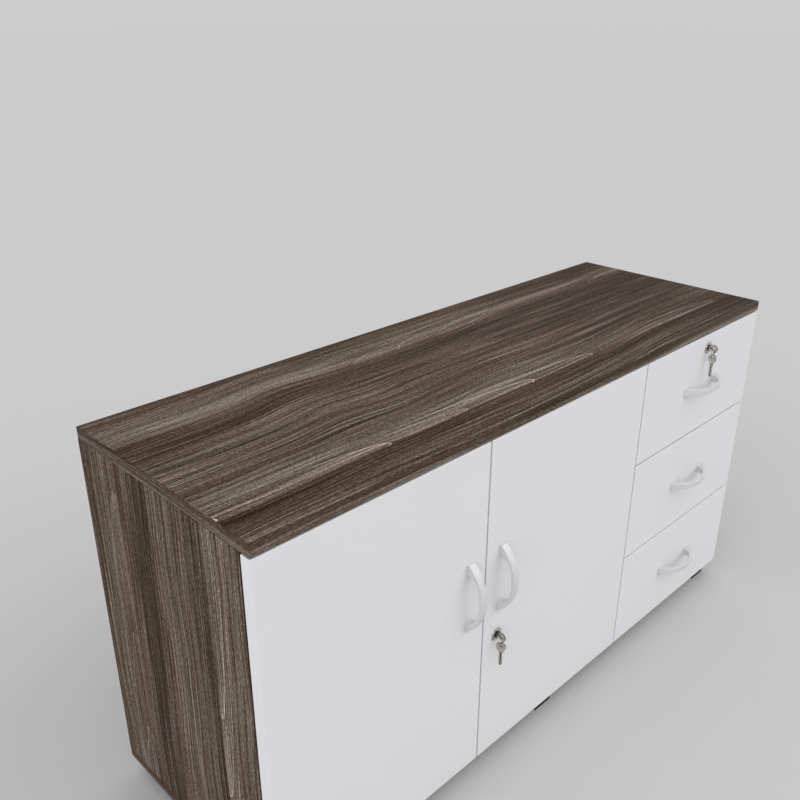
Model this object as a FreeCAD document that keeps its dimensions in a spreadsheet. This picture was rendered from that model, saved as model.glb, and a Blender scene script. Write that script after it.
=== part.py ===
import FreeCAD, Part
import os
import re

# Low storage cabinet: two hinged doors beside three drawers, on block feet.
# X runs along the front, the fronts face -Y, Z is up, and the origin is on the floor in the
# middle of everything, with the handles counted in.

# Driving dimensions in millimetres, one cell each
DIMENSIONS = {
    # Whole cabinet
    "width": 1200,
    "depth": 400,
    "height": 630,
    "board": 18,
    "band": 2,
    "thin_band": 1,
    "edge_round": 1,
    "overcut": 1,
    # Gaps round the doors and drawer fronts
    "front_gap": 2,
    "seam": 3,
    "top_gap": 2,
    "bottom_gap": 1.5,
    # Back panel in its grooves
    "back_thick": 5,
    "back_inset": 12,
    "groove": 8,
    "slack": 0.1,
    # Shelf and its pins
    "shelf_low": 321,
    "shelf_front": 40,
    "shelf_back": 380,
    "shelf_slack": 1,
    "pin_radius": 2.5,
    "pin_deep": 8,
    "pin_out": 8,
    "pin_front": 70,
    "pin_back": 340,
    "hole_pitch": 32,
    # Feet
    "foot_height": 30,
    "foot_side": 45,
    "foot_inset": 15,
    "foot_screw_step": 24,
    "foot_screw_radius": 2,
    "foot_screw_head": 4,
    "foot_screw_low": 3,
    "foot_screw_top": 42,
    # Cam and bolt connectors of the carcass
    "connector_radius": 7.5,
    "connector_deep": 12.5,
    "connector_back": 34,
    "connector_bolt": 3,
    "connector_bite": 10,
    "connector_front_row": 90,
    "connector_back_row": 310,
    # Bow handles
    "handle_length": 118,
    "handle_reach": 30,
    "handle_width": 13.6,
    "handle_waist": 11,
    "handle_strap": 6,
    "bow_radius": 79,
    "grip_radius": 48,
    "waist_radius": 1340,
    "door_handle_height": 370.5,
    "door_handle_inset": 36,
    # Concealed cup hinges
    "hinge_inset": 100,
    "pin_from_edge": 7,
    "pin_from_back": 11.5,
    "hinge_pin": 1.2,
    "hinge_pin_half": 9.4,
    "running_gap": 0.03,
    "knuckle": 2,
    "arm_half": 5.5,
    "arm_thick": 3,
    "arm_low": 13.3,
    "leg_near": 21.2,
    "leg_far": 24.7,
    "leg_end": 60,
    "cup_centre": 21,
    "cup_radius": 18,
    "cup_wall": 0.6,
    "cup_deep": 14.4,
    "flange_radius": 19.5,
    "flange_thick": 1,
    "flange_half": 26,
    "flange_ear": 8,
    "flange_edge": 3.2,
    "plate_start": 22,
    "plate_end": 56,
    "plate_half": 8,
    "wing_start": 31,
    "wing_end": 47,
    "wing_half": 24,
    "wing_thick": 3,
    # Drawers
    "box_lift": 24,
    "box_height": 120,
    "box_depth": 350,
    "box_wall": 12,
    "box_bottom": 4,
    "box_bottom_lift": 10,
    "box_groove": 6,
    # Ball bearing runners
    "runner_space": 12.7,
    "runner_length": 350,
    "runner_start": 22,
    "runner_metal": 1.2,
    "runner_lift": 60,
    "outer_half": 22.5,
    "outer_lip": 9.5,
    "middle_half": 18.5,
    "middle_base": 3,
    "middle_lip": 10.6,
    "inner_half": 13,
    "inner_lip": 6,
    # Cam locks with their keys
    "lock_radius": 8,
    "lock_length": 24.5,
    "rose_radius": 11.5,
    "rose_thick": 2,
    "plug_radius": 5.5,
    "plug_front": 2.6,
    "cam_start": 25,
    "cam_thick": 2,
    "cam_half": 7,
    "door_cam_length": 48,
    "drawer_cam_length": 24,
    "nut_radius": 11,
    "nut_thick": 3,
    "door_lock_inset": 30.5,
    "door_lock_height": 265,
    "drawer_lock_drop": 25.5,
    "drawer_lock_aside": 8,
    "key_thick": 1.8,
    "key_blade": 6.4,
    "key_deep": 16,
    "key_slack": 0.1,
    "bow_forward": 11.3,
    "key_bow": 7.6,
    "key_hole": 2.5,
    "key_hole_lift": 3.6,
    "key_drop": 37.2,
    "ring_radius": 6.6,
    "ring_wire": 0.6,
    "ring_sag": 0.7,
    # Strike of the drawer lock
    "strike_half": 25,
    "strike_start": 22,
    "strike_end": 52,
    "strike_metal": 1.5,
    "strike_drop": 18,
    # Slide bolt of the left door
    "bolt_inset": 15.5,
    "bolt_radius": 3.5,
    "bolt_gap": 0.05,
    "bolt_deep": 23,
    "bolt_low": 549,
    "bolt_high": 607,
    "bolt_throw": 12,
    "keep_radius": 4.2,
    "keep_deep": 13,
    "case_half": 8,
    "case_low": 545,
    "case_high": 600,
    "case_deep": 28,
    "thumb_radius": 2.5,
    "thumb_end": 33,
    "thumb_height": 556,
    "thumb_gap": 0.4,
}

doc = FreeCAD.newDocument("cabinet")
sheet = doc.addObject("Spreadsheet::Sheet", "dims")
for row, (alias, value) in enumerate(DIMENSIONS.items(), start=1):
    sheet.set(f"A{row}", alias)
    sheet.set(f"B{row}", str(value))
    sheet.setAlias(f"B{row}", alias)
doc.recompute()

# Places worked out from the cells, as expressions
FRONT = "(-(depth - handle_reach) / 2)"
DOOR_BACK = f"({FRONT} + board)"
CARCASS = f"({FRONT} + board + front_gap)"
REAR = f"({FRONT} + depth)"
TOP_LOW = "(height - board)"
INNER = "(width / 2 - board)"
FLOOR_HIGH = "(foot_height + board)"
DIVIDER = "(width / 6)"
DIVIDER_LEFT = f"({DIVIDER} - board / 2)"
DIVIDER_RIGHT = f"({DIVIDER} + board / 2)"
BACK_FRONT = f"({REAR} - back_inset - back_thick)"
FRONTS_LOW = "(foot_height + bottom_gap)"
FRONTS_HIGH = f"({TOP_LOW} - top_gap)"
DRAWER_PITCH = f"(({FRONTS_HIGH} - {FRONTS_LOW} + seam) / 3)"
DRAWER_MIDDLE = "((width / 6 + seam / 2 + width / 2) / 2)"
DRAWER_LOCK_MIDDLE = f"({DRAWER_MIDDLE} + drawer_lock_aside)"
DRAWER_LOCK_HEIGHT = f"({FRONTS_HIGH} - drawer_lock_drop)"
DOOR_LOCK_MIDDLE = "(-width / 6 + seam / 2 + door_lock_inset)"

nodes = []


def bind(text):
    """Turn the cell names in an expression into references to the sheet."""
    return re.sub(r"[a-z_]+", lambda word: "dims." + word.group(0), str(text))


def node(item, label):
    """Make an object one of the sub-parts that are written out."""
    item.Label = label
    nodes.append(item)
    return item


def box(name, x_span, y_span, z_span):
    """Box between low and high expressions along each axis."""
    item = doc.addObject("Part::Box", name)
    spans = (("Length", "x", x_span), ("Width", "y", y_span), ("Height", "z", z_span))
    for size, axis, (low, high) in spans:
        item.setExpression(size, bind(f"({high}) - ({low})"))
        item.setExpression(f"Placement.Base.{axis}", bind(low))
    return item


def rod(name, axis, centre, span, radius):
    """Cylinder along an axis; centre gives its place on the other two axes, in X, Y, Z order."""
    item = doc.addObject("Part::Cylinder", name)
    turns = {
        "x": FreeCAD.Rotation(FreeCAD.Vector(0, 1, 0), 90),
        "y": FreeCAD.Rotation(FreeCAD.Vector(1, 0, 0), -90),
        "z": FreeCAD.Rotation(),
    }
    item.Placement = FreeCAD.Placement(FreeCAD.Vector(), turns[axis])
    low, high = span
    others = [name_of for name_of in "xyz" if name_of != axis]
    item.setExpression("Radius", bind(radius))
    item.setExpression("Height", bind(f"({high}) - ({low})"))
    item.setExpression(f"Placement.Base.{axis}", bind(low))
    for other, place in zip(others, centre):
        item.setExpression(f"Placement.Base.{other}", bind(place))
    return item


def fuse(name, items):
    """One solid of several that touch or overlap."""
    item = doc.addObject("Part::MultiFuse", name)
    item.Shapes = items
    item.Refine = True
    return item


def group(name, items):
    """Several separate solids kept together."""
    item = doc.addObject("Part::Compound", name)
    item.Links = items
    return item


def cut(name, base, tools):
    """Base with every tool taken out of it."""
    item = doc.addObject("Part::Cut", name)
    item.Base = base
    item.Tool = tools[0] if len(tools) == 1 else group(name + "_tools", tools)
    return item


def overlap(name, first, second):
    """What two solids share."""
    item = doc.addObject("Part::Common", name)
    item.Base = first
    item.Tool = second
    return item


def rounded(name, base):
    """Box with all its edges rounded."""
    item = doc.addObject("Part::Fillet", name)
    item.Base = base
    radius = DIMENSIONS["edge_round"]
    item.Edges = [(edge, radius, radius) for edge in range(1, 13)]
    return item


def middle(place, half):
    """Span of a given half width round a place."""
    return (f"{place} - {half}", f"{place} + {half}")


def off(edge, sign, near, far):
    """Span measured from an edge, towards +X for sign 1 and towards -X for sign -1."""
    if sign > 0:
        return (f"{edge} + {near}", f"{edge} + {far}")
    return (f"{edge} - ({far})", f"{edge} - ({near})")


def deep(near, far):
    """Span of depth measured back from the face of the fronts."""
    return (f"{FRONT} + {near}", f"{FRONT} + {far}")


# Back panel, and the slot that it needs in the boards round it
def back_slab(name, gap):
    return box(
        name,
        (f"-{INNER} - groove - {gap}", f"{INNER} + groove + {gap}"),
        (f"{BACK_FRONT} - {gap}", f"{BACK_FRONT} + back_thick + {gap}"),
        (f"{FLOOR_HIGH} - groove - {gap}", f"{TOP_LOW} + groove + {gap}"),
    )


node(back_slab("back", "0"), "back_panel")
back_slot = back_slab("back_slot", "slack")

# Connectors: cams let into the uprights, bolts into the boards above and below
CONNECTOR_ROWS = (f"({FRONT} + connector_front_row)", f"({FRONT} + connector_back_row)")
cams = []
bolts = []


def connectors(name, face, sign):
    """Cams and bolts at both ends of an upright. Sign points from its face into it."""
    cam_span = off(face, sign, "0", "connector_deep")
    bolt_x = f"({face} + {sign} * board / 2)"
    high = f"({TOP_LOW} - connector_back)"
    low = f"({FLOOR_HIGH} + connector_back)"
    ends = (
        ("high", high, (f"{high} + connector_radius", f"{TOP_LOW} + connector_bite")),
        ("low", low, (f"{FLOOR_HIGH} - connector_bite", f"{low} - connector_radius")),
    )
    for row, y in enumerate(CONNECTOR_ROWS):
        for end, z, bolt_span in ends:
            tag = f"{name}_{end}_{row}"
            cams.append(rod(tag + "_cam", "x", (y, z), cam_span, "connector_radius"))
            bolts.append(rod(tag + "_bolt", "z", (bolt_x, y), bolt_span, "connector_bolt"))


connectors("left", f"-{INNER}", -1)
connectors("right", INNER, 1)
connectors("divider", DIVIDER_LEFT, 1)
node(group("cams", cams), "connector_cams")
node(group("bolts", bolts), "connector_bolts")

# Shelf pins, and the rows of holes that they fit
PIN_ROWS = (f"({FRONT} + pin_front)", f"({FRONT} + pin_back)")
PIN_HEIGHT = "(shelf_low - pin_radius)"
pins = []
left_holes = []
divider_holes = []
for row, y in enumerate(PIN_ROWS):
    left_span = (f"-{INNER} - pin_deep", f"-{INNER} + pin_out")
    divider_span = (f"{DIVIDER_LEFT} - pin_out", f"{DIVIDER_LEFT} + pin_deep")
    pins.append(rod(f"left_pin_{row}", "x", (y, PIN_HEIGHT), left_span, "pin_radius"))
    pins.append(rod(f"divider_pin_{row}", "x", (y, PIN_HEIGHT), divider_span, "pin_radius"))
    for step in range(-2, 3):
        place = (y, f"{PIN_HEIGHT} + {step} * hole_pitch")
        left_span = (f"-{INNER} - pin_deep", f"-{INNER} + overcut")
        divider_span = (f"{DIVIDER_LEFT} - overcut", f"{DIVIDER_LEFT} + pin_deep")
        left_holes.append(rod(f"left_hole_{row}_{step}", "x", place, left_span, "pin_radius"))
        divider_holes.append(rod(f"divider_hole_{row}_{step}", "x", place, divider_span, "pin_radius"))
node(group("pins", pins), "shelf_pins")
node(
    box(
        "shelf_board",
        (f"-{INNER} + shelf_slack", f"{DIVIDER_LEFT} - shelf_slack"),
        deep("shelf_front", "shelf_back"),
        ("shelf_low", "shelf_low + board"),
    ),
    "shelf",
)

# Top board, edge banded all round, with the hole that keeps the left door's bolt
BOLT_MIDDLE = "(-width / 6 - seam / 2 - bolt_inset)"
BOLT_DEPTH = f"({FRONT} + bolt_deep)"
top_board = box(
    "top_board",
    ("-width / 2 + band", "width / 2 - band"),
    deep("band", "depth - band"),
    (TOP_LOW, "height"),
)
keep_span = (f"{TOP_LOW} - overcut", f"{TOP_LOW} + keep_deep")
keep = rod("keep", "z", (BOLT_MIDDLE, BOLT_DEPTH), keep_span, "keep_radius")
node(cut("top_cut", top_board, [back_slot, keep] + bolts), "top_panel")


def edge_bands(name, near, far, z_span):
    """Bands on all four edges of a board that runs the full width, between two depths."""
    long = ("-width / 2 + band", "width / 2 - band")
    ends = (near, far)
    return [
        box(name + "_left", ("-width / 2", "-width / 2 + band"), ends, z_span),
        box(name + "_right", ("width / 2 - band", "width / 2"), ends, z_span),
        box(name + "_front", long, (near, f"{near} + band"), z_span),
        box(name + "_rear", long, (f"{far} - band", far), z_span),
    ]


node(group("top_bands", edge_bands("top_band", FRONT, REAR, (TOP_LOW, "height"))), "top_edge_bands")

# Side panels, which stand on the bottom board, with thin bands on their front and rear edges
carcass_bands = edge_bands("floor_band", CARCASS, REAR, ("foot_height", FLOOR_HIGH))
upright = (FLOOR_HIGH, TOP_LOW)
for label, sign, holes in (("left_side_panel", -1, left_holes), ("right_side_panel", 1, [])):
    thick = off("0", sign, INNER, "width / 2")
    panel = box(label + "_board", thick, (f"{CARCASS} + thin_band", f"{REAR} - thin_band"), upright)
    node(cut(label + "_cut", panel, [back_slot] + cams + bolts + holes), label)
    carcass_bands.append(box(label + "_front_band", thick, (CARCASS, f"{CARCASS} + thin_band"), upright))
    carcass_bands.append(box(label + "_rear_band", thick, (f"{REAR} - thin_band", REAR), upright))
node(group("carcass_bands", carcass_bands), "carcass_edge_bands")

# Feet with their screws, three in front and three behind
FOOT_ROWS = (
    f"({FRONT} + foot_inset + foot_side / 2)",
    f"({REAR} - foot_inset - foot_side / 2)",
)
feet = []
foot_screws = []
for column in (-1, 0, 1):
    for row, y in enumerate(FOOT_ROWS):
        name = f"foot_{column + 1}_{row}"
        x = f"({column} * (width / 2 - foot_inset - foot_side / 2))"
        block = box(name, middle(x, "foot_side / 2"), middle(y, "foot_side / 2"), ("0", "foot_height"))
        screws = []
        wells = []
        for side in (-1, 1):
            place = (f"{x} + {side} * foot_screw_step / 2", y)
            tag = f"{name}_{side + 1}"
            head_span = ("foot_screw_low", "foot_screw_low + foot_screw_head / 2")
            shank_span = ("foot_screw_low", "foot_screw_top")
            head = rod(tag + "_head", "z", place, head_span, "foot_screw_head")
            shank = rod(tag + "_shank", "z", place, shank_span, "foot_screw_radius")
            screws.append(fuse(tag + "_screw", [head, shank]))
            wells.append(rod(tag + "_well", "z", place, ("-overcut", "foot_screw_low"), "foot_screw_head"))
        feet.append(cut(name + "_block", block, wells + screws))
        foot_screws += screws
node(group("all_feet", feet), "feet")
node(group("all_foot_screws", foot_screws), "foot_screws")

# Bottom board and divider
floor_board = box(
    "floor_board",
    ("-width / 2 + band", "width / 2 - band"),
    (f"{CARCASS} + band", f"{REAR} - band"),
    ("foot_height", FLOOR_HIGH),
)
node(cut("floor_cut", floor_board, [back_slot] + bolts + foot_screws), "bottom_panel")
divider_board = box(
    "divider_board",
    (DIVIDER_LEFT, DIVIDER_RIGHT),
    (CARCASS, BACK_FRONT),
    (FLOOR_HIGH, TOP_LOW),
)
node(cut("divider_cut", divider_board, cams + bolts + divider_holes), "divider_panel")


# Bow handle: a crescent between two arcs, narrowed a little at its waist
def handle(label, x, z, upright):
    lengthwise = "z" if upright else "x"
    across = "x" if upright else "z"
    place = {"x": x, "z": z}
    spans = {
        lengthwise: middle(place[lengthwise], "handle_length / 2"),
        across: middle(place[across], "handle_width / 2"),
        "y": (f"{FRONT} - handle_reach", FRONT),
    }
    block = box(label + "_block", spans["x"], spans["y"], spans["z"])

    def arc(name, radius, reach):
        depth = f"({FRONT} - {reach} + {radius})"
        centre = (depth, z) if upright else (x, depth)
        return rod(name, across, centre, spans[across], radius)

    bow = overlap(label + "_bow", block, arc(label + "_outer", "bow_radius", "handle_reach"))
    reach = "(handle_reach - handle_strap)"
    tools = [arc(label + "_inner", "grip_radius", reach)]
    for side in (-1, 1):
        aside = f"({place[across]} + {side} * (handle_waist / 2 + waist_radius))"
        centre = (aside, z) if upright else (x, aside)
        tools.append(rod(f"{label}_waist_{side + 1}", "y", centre, spans["y"], "waist_radius"))
    node(cut(label + "_shape", bow, tools), label)


# Hinges: a fixed arm reaches into a cup in the door and carries the door on one upright pin
HINGE_HEIGHTS = (f"({FRONTS_LOW} + hinge_inset)", f"({FRONTS_HIGH} - hinge_inset)")
arms = []
plates = []


def back_off(near, far):
    """Span of depth measured from the back face of the doors into the cabinet."""
    return (f"{DOOR_BACK} + {near}", f"{DOOR_BACK} + {far}")


def hinges(side, edge, sign, wall):
    """Both hinges of a door. Wall is how far the board that carries them is from the door's edge."""
    pin_x = f"({edge} + {sign} * pin_from_edge)"
    pin_y = f"({DOOR_BACK} - pin_from_back)"
    cup_x = f"({edge} + {sign} * cup_centre)"
    cups = []
    pins = []
    pockets = []
    for number, z in enumerate(HINGE_HEIGHTS):
        name = f"{side}_hinge_{number}"
        width = middle(z, "arm_half")
        pin = rod(name + "_pin", "z", (pin_x, pin_y), middle(z, "hinge_pin_half"), "hinge_pin")
        pins.append(pin)

        eye = rod(name + "_eye", "z", (pin_x, pin_y), width, "knuckle")
        hole = rod(name + "_hole", "z", (pin_x, pin_y), width, "hinge_pin + running_gap")
        foot = box(
            name + "_foot",
            off(edge, sign, "pin_from_edge", "leg_far"),
            back_off("-arm_low", "-arm_low + arm_thick"),
            width,
        )
        leg = box(
            name + "_leg",
            off(edge, sign, "leg_near", "leg_far"),
            back_off("-arm_low", "leg_end"),
            width,
        )
        arms.append(cut(name + "_arm", fuse(name + "_bent", [eye, foot, leg]), [hole]))

        base = box(
            name + "_base",
            off(edge, sign, wall, "leg_near"),
            back_off("plate_start", "plate_end"),
            middle(z, "plate_half"),
        )
        wings = box(
            name + "_wings",
            off(edge, sign, wall, f"{wall} + wing_thick"),
            back_off("wing_start", "wing_end"),
            middle(z, "wing_half"),
        )
        plates.append(fuse(name + "_plate", [base, wings]))

        cup_place = (cup_x, z)
        shell = rod(name + "_shell", "y", cup_place, back_off("-cup_deep", "flange_thick"), "cup_radius")
        rim = rod(name + "_rim", "y", cup_place, back_off("0", "flange_thick"), "flange_radius")
        rim_room = box(
            name + "_rim_room",
            off(edge, sign, "flange_edge", "cup_centre + flange_radius"),
            back_off("-cup_deep", "flange_thick"),
            middle(z, "flange_half"),
        )
        ears = box(
            name + "_ears",
            middle(cup_x, "flange_ear"),
            back_off("0", "flange_thick"),
            middle(z, "flange_half"),
        )
        hollow = rod(
            name + "_hollow",
            "y",
            cup_place,
            back_off("-cup_deep + cup_wall", "flange_thick + overcut"),
            "cup_radius - cup_wall",
        )
        outside = overlap(name + "_outside", fuse(name + "_cast", [shell, rim, ears]), rim_room)
        cups.append(cut(name + "_cup", outside, [hollow, pin]))
        pockets.append(rod(name + "_pocket", "y", cup_place, back_off("-cup_deep", "overcut"), "cup_radius"))
    node(group(side + "_cups", cups), f"{side}_hinge_cups")
    node(group(side + "_pins", pins), f"{side}_hinge_pins")
    return pockets


# Cam lock with a key in it, and a spare key hanging from the first one's ring
def key_shape(name, x, bow_y, bow_z, blade_y, blade_z, hole_z):
    thick = middle(x, "key_thick / 2")
    bow = rod(name + "_bow", "x", (bow_y, bow_z), thick, "key_bow")
    blade = box(name + "_blade", thick, blade_y, blade_z)
    hole = rod(name + "_eye", "x", (bow_y, hole_z), thick, "key_hole")
    return cut(name + "_key", fuse(name + "_blank", [bow, blade]), [hole])


def lock(side, x, z, cam_x, cam_z):
    """Lock through a front at x, z. The two spans are those of the cam behind it."""
    place = (x, z)
    body = fuse(
        side + "_lock_body",
        [
            rod(side + "_lock_case", "y", place, deep("0", "lock_length"), "lock_radius"),
            rod(side + "_rose", "y", place, deep("-rose_thick", "0"), "rose_radius"),
        ],
    )
    bore = rod(
        side + "_lock_bore",
        "y",
        place,
        deep("-rose_thick", "lock_length"),
        "plug_radius + running_gap",
    )
    node(cut(side + "_barrel", body, [bore]), f"{side}_lock_barrel")

    nut = rod(side + "_nut_blank", "y", place, deep("board", "board + nut_thick"), "nut_radius")
    thread = rod(side + "_nut_bore", "y", place, deep("board", "board + nut_thick"), "lock_radius")
    node(cut(side + "_nut", nut, [thread]), f"{side}_lock_nut")

    plug = rod(side + "_plug_blank", "y", place, deep("-plug_front", "cam_start"), "plug_radius")
    slot = box(
        side + "_keyway",
        middle(x, "(key_thick / 2 + key_slack)"),
        deep("-plug_front - overcut", "key_deep + overcut"),
        middle(z, "(key_blade / 2 + key_slack)"),
    )
    node(cut(side + "_plug", plug, [slot]), f"{side}_lock_plug")

    bar = box(side + "_cam_bar", cam_x, deep("cam_start", "cam_start + cam_thick"), cam_z)
    hub = rod(side + "_cam_hub", "y", place, deep("cam_start", "cam_start + cam_thick"), "cam_half")
    node(fuse(side + "_cam", [bar, hub]), f"{side}_lock_cam")

    bow_y = f"({FRONT} - bow_forward)"
    blade_y = deep("-bow_forward + key_bow / 2", "key_deep")
    node(key_shape(side, x, bow_y, z, blade_y, middle(z, "key_blade / 2"), z), f"{side}_key")

    ring = doc.addObject("Part::Torus", side + "_ring")
    ring.Placement = FreeCAD.Placement(FreeCAD.Vector(), FreeCAD.Rotation(FreeCAD.Vector(1, 0, 0), 90))
    ring.setExpression("Radius1", bind("ring_radius"))
    ring.setExpression("Radius2", bind("ring_wire"))
    ring.setExpression("Placement.Base.x", bind(x))
    ring.setExpression("Placement.Base.y", bind(bow_y))
    ring.setExpression("Placement.Base.z", bind(f"{z} - ring_sag - ring_radius"))
    node(ring, f"{side}_key_ring")

    hole_z = f"({z} - 2 * ring_sag - 2 * ring_radius)"
    bow_z = f"({hole_z} - key_hole_lift)"
    blade_z = (f"{bow_z} - key_drop", f"{bow_z} - key_bow / 2")
    spare = key_shape(side + "_spare", x, bow_y, bow_z, middle(bow_y, "key_blade / 2"), blade_z, hole_z)
    node(spare, f"{side}_spare_key")
    return rod(side + "_lock_hole", "y", place, deep("-overcut", "board + overcut"), "lock_radius")


def front_board(name, x_span, z_span):
    """Door or drawer front with softly rounded edges."""
    return rounded(name + "_soft", box(name + "_board", x_span, deep("0", "board"), z_span))


# Left door with its handle, hinges and slide bolt
fronts = (FRONTS_LOW, FRONTS_HIGH)
LEFT_EDGE = "(-width / 2)"
left_board = front_board("left_door", (LEFT_EDGE, "-width / 6 - seam / 2"), fronts)
node(cut("left_door", left_board, hinges("left", LEFT_EDGE, 1, "board")), "left_door_panel")
handle("left_door_handle", "(-width / 6 - door_handle_inset)", "door_handle_height", True)

bolt_place = (BOLT_MIDDLE, BOLT_DEPTH)
case_wide = middle(BOLT_MIDDLE, "case_half")
case_block = box("case_block", case_wide, deep("board", "case_deep"), ("case_low", "case_high"))
bore_span = ("case_low - overcut", "case_high + overcut")
bolt_bore = rod("bolt_bore", "z", bolt_place, bore_span, "bolt_radius + bolt_gap")
thumb_slot = box(
    "thumb_slot",
    middle(BOLT_MIDDLE, "(thumb_radius + thumb_gap)"),
    deep("bolt_deep", "case_deep + overcut"),
    ("thumb_height - thumb_radius - thumb_gap", "thumb_height + thumb_radius + thumb_gap + bolt_throw"),
)
node(cut("bolt_case", case_block, [bolt_bore, thumb_slot]), "left_bolt_case")
bolt_rod = rod("bolt_rod", "z", bolt_place, ("bolt_low", "bolt_high"), "bolt_radius")
thumb = rod("thumb", "y", (BOLT_MIDDLE, "thumb_height"), deep("bolt_deep", "thumb_end"), "thumb_radius")
node(fuse("slide_bolt", [bolt_rod, thumb]), "left_bolt")

# Right door with its handle, hinges and lock
RIGHT_EDGE = "(width / 6 - seam / 2)"
right_board = front_board("right_door", ("-width / 6 + seam / 2", RIGHT_EDGE), fronts)
door_lock_hole = lock(
    "door",
    DOOR_LOCK_MIDDLE,
    "door_lock_height",
    middle(DOOR_LOCK_MIDDLE, "cam_half"),
    ("door_lock_height - door_cam_length", "door_lock_height"),
)
right_pockets = hinges("right", RIGHT_EDGE, -1, f"({RIGHT_EDGE} - {DIVIDER_LEFT})")
node(cut("right_door", right_board, right_pockets + [door_lock_hole]), "right_door_panel")
handle("right_door_handle", "(-width / 6 + door_handle_inset)", "door_handle_height", True)
node(group("all_arms", arms), "hinge_arms")
node(group("all_plates", plates), "hinge_plates")

# Drawers: a front on a grooved box, carried by two three-part runners
BOX_SPAN = (f"{DIVIDER_RIGHT} + runner_space", f"{INNER} - runner_space")
BOX_LOW, BOX_HIGH = BOX_SPAN
cabinet_runners = []


def channel(name, wall, sign, web, lips, half, z):
    """Pressed channel: a web and two lips, each between two distances from the wall."""
    along = deep("runner_start", "runner_start + runner_length")
    upper = (f"{z} + {half} - runner_metal", f"{z} + {half}")
    lower = (f"{z} - {half}", f"{z} - {half} + runner_metal")
    return fuse(
        name,
        [
            box(name + "_web", off(wall, sign, *web), along, middle(z, half)),
            box(name + "_upper", off(wall, sign, *lips), along, upper),
            box(name + "_lower", off(wall, sign, *lips), along, lower),
        ],
    )


def runner(name, wall, sign, z):
    """Cabinet, middle and drawer members of one runner, nested with room for the balls."""
    outer = channel(name + "_outer", wall, sign, ("0", "runner_metal"), ("0", "outer_lip"), "outer_half", z)
    middle_web = ("middle_base", "middle_base + runner_metal")
    middle_lips = ("middle_base", "middle_lip")
    centre = channel(name + "_middle", wall, sign, middle_web, middle_lips, "middle_half", z)
    inner_web = ("runner_space - runner_metal", "runner_space")
    inner_lips = ("inner_lip", "runner_space")
    inner = channel(name + "_inner", wall, sign, inner_web, inner_lips, "inner_half", z)
    return outer, centre, inner


def drawer(number):
    name = f"drawer_{number}"
    high = f"({FRONTS_HIGH} - {number - 1} * {DRAWER_PITCH})"
    low = f"({high} - {DRAWER_PITCH} + seam)"
    board = front_board(name, ("width / 6 + seam / 2", "width / 2"), (low, high))
    if number == 1:
        cam_x = (f"{DRAWER_LOCK_MIDDLE} - drawer_cam_length", DRAWER_LOCK_MIDDLE)
        cam_z = middle(DRAWER_LOCK_HEIGHT, "cam_half")
        board = cut(name, board, [lock("drawer", DRAWER_LOCK_MIDDLE, DRAWER_LOCK_HEIGHT, cam_x, cam_z)])
    node(board, f"{name}_front")
    handle(f"{name}_handle", DRAWER_MIDDLE, f"(({low} + {high}) / 2)", False)

    box_low = f"({low} + box_lift)"
    tall = (box_low, f"{box_low} + box_height")
    long = deep("board", "board + box_depth")
    at_back = deep("board + box_depth - box_wall", "board + box_depth")
    inside = (f"{BOX_LOW} + box_wall", f"{BOX_HIGH} - box_wall")
    walls = group(
        name + "_walls",
        [
            box(name + "_left_wall", (BOX_LOW, f"{BOX_LOW} + box_wall"), long, tall),
            box(name + "_right_wall", (f"{BOX_HIGH} - box_wall", BOX_HIGH), long, tall),
            box(name + "_front_wall", inside, deep("board", "board + box_wall"), tall),
            box(name + "_back_wall", inside, at_back, tall),
        ],
    )
    edge = "(box_wall - box_groove)"
    floor = box(
        name + "_floor",
        (f"{BOX_LOW} + {edge}", f"{BOX_HIGH} - {edge}"),
        deep(f"board + {edge}", f"board + box_depth - {edge}"),
        (f"{box_low} + box_bottom_lift", f"{box_low} + box_bottom_lift + box_bottom"),
    )
    node(cut(name + "_grooved", walls, [floor]), f"{name}_box")
    node(floor, f"{name}_bottom")

    z = f"({box_low} + runner_lift)"
    left = runner(name + "_left", DIVIDER_RIGHT, 1, z)
    right = runner(name + "_right", INNER, -1, z)
    cabinet_runners.extend((left[0], right[0]))
    node(group(name + "_middles", [left[1], right[1]]), f"{name}_middle_runners")
    node(group(name + "_inners", [left[2], right[2]]), f"{name}_inner_runners")


for number in (1, 2, 3):
    drawer(number)
node(group("all_cabinet_runners", cabinet_runners), "cabinet_runners")

# Strike under the top, behind which the drawer lock's cam turns up
strike_x = middle(DRAWER_MIDDLE, "strike_half")
strike_plate = box(
    "strike_plate",
    strike_x,
    deep("strike_start", "strike_end"),
    (f"{TOP_LOW} - strike_metal", TOP_LOW),
)
strike_lip = box(
    "strike_lip",
    strike_x,
    deep("strike_start", "strike_start + strike_metal"),
    (f"{TOP_LOW} - strike_drop", TOP_LOW),
)
node(fuse("strike", [strike_plate, strike_lip]), "lock_strike")

# Every object has to be sound before a file is written
doc.recompute()
for item in doc.Objects:
    if "Invalid" in item.State or "Error" in item.State:
        raise RuntimeError(f"{item.Label} failed: {item.State}")
for item in nodes:
    if item.Shape.isNull() or not item.Shape.isValid():
        raise RuntimeError(f"{item.Label} has no sound shape")

os.makedirs("parts", exist_ok=True)
for item in nodes:
    item.Shape.exportStep(f"parts/{item.Label}.step")
print(len(nodes), "sub-parts written")
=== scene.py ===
import math

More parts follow.
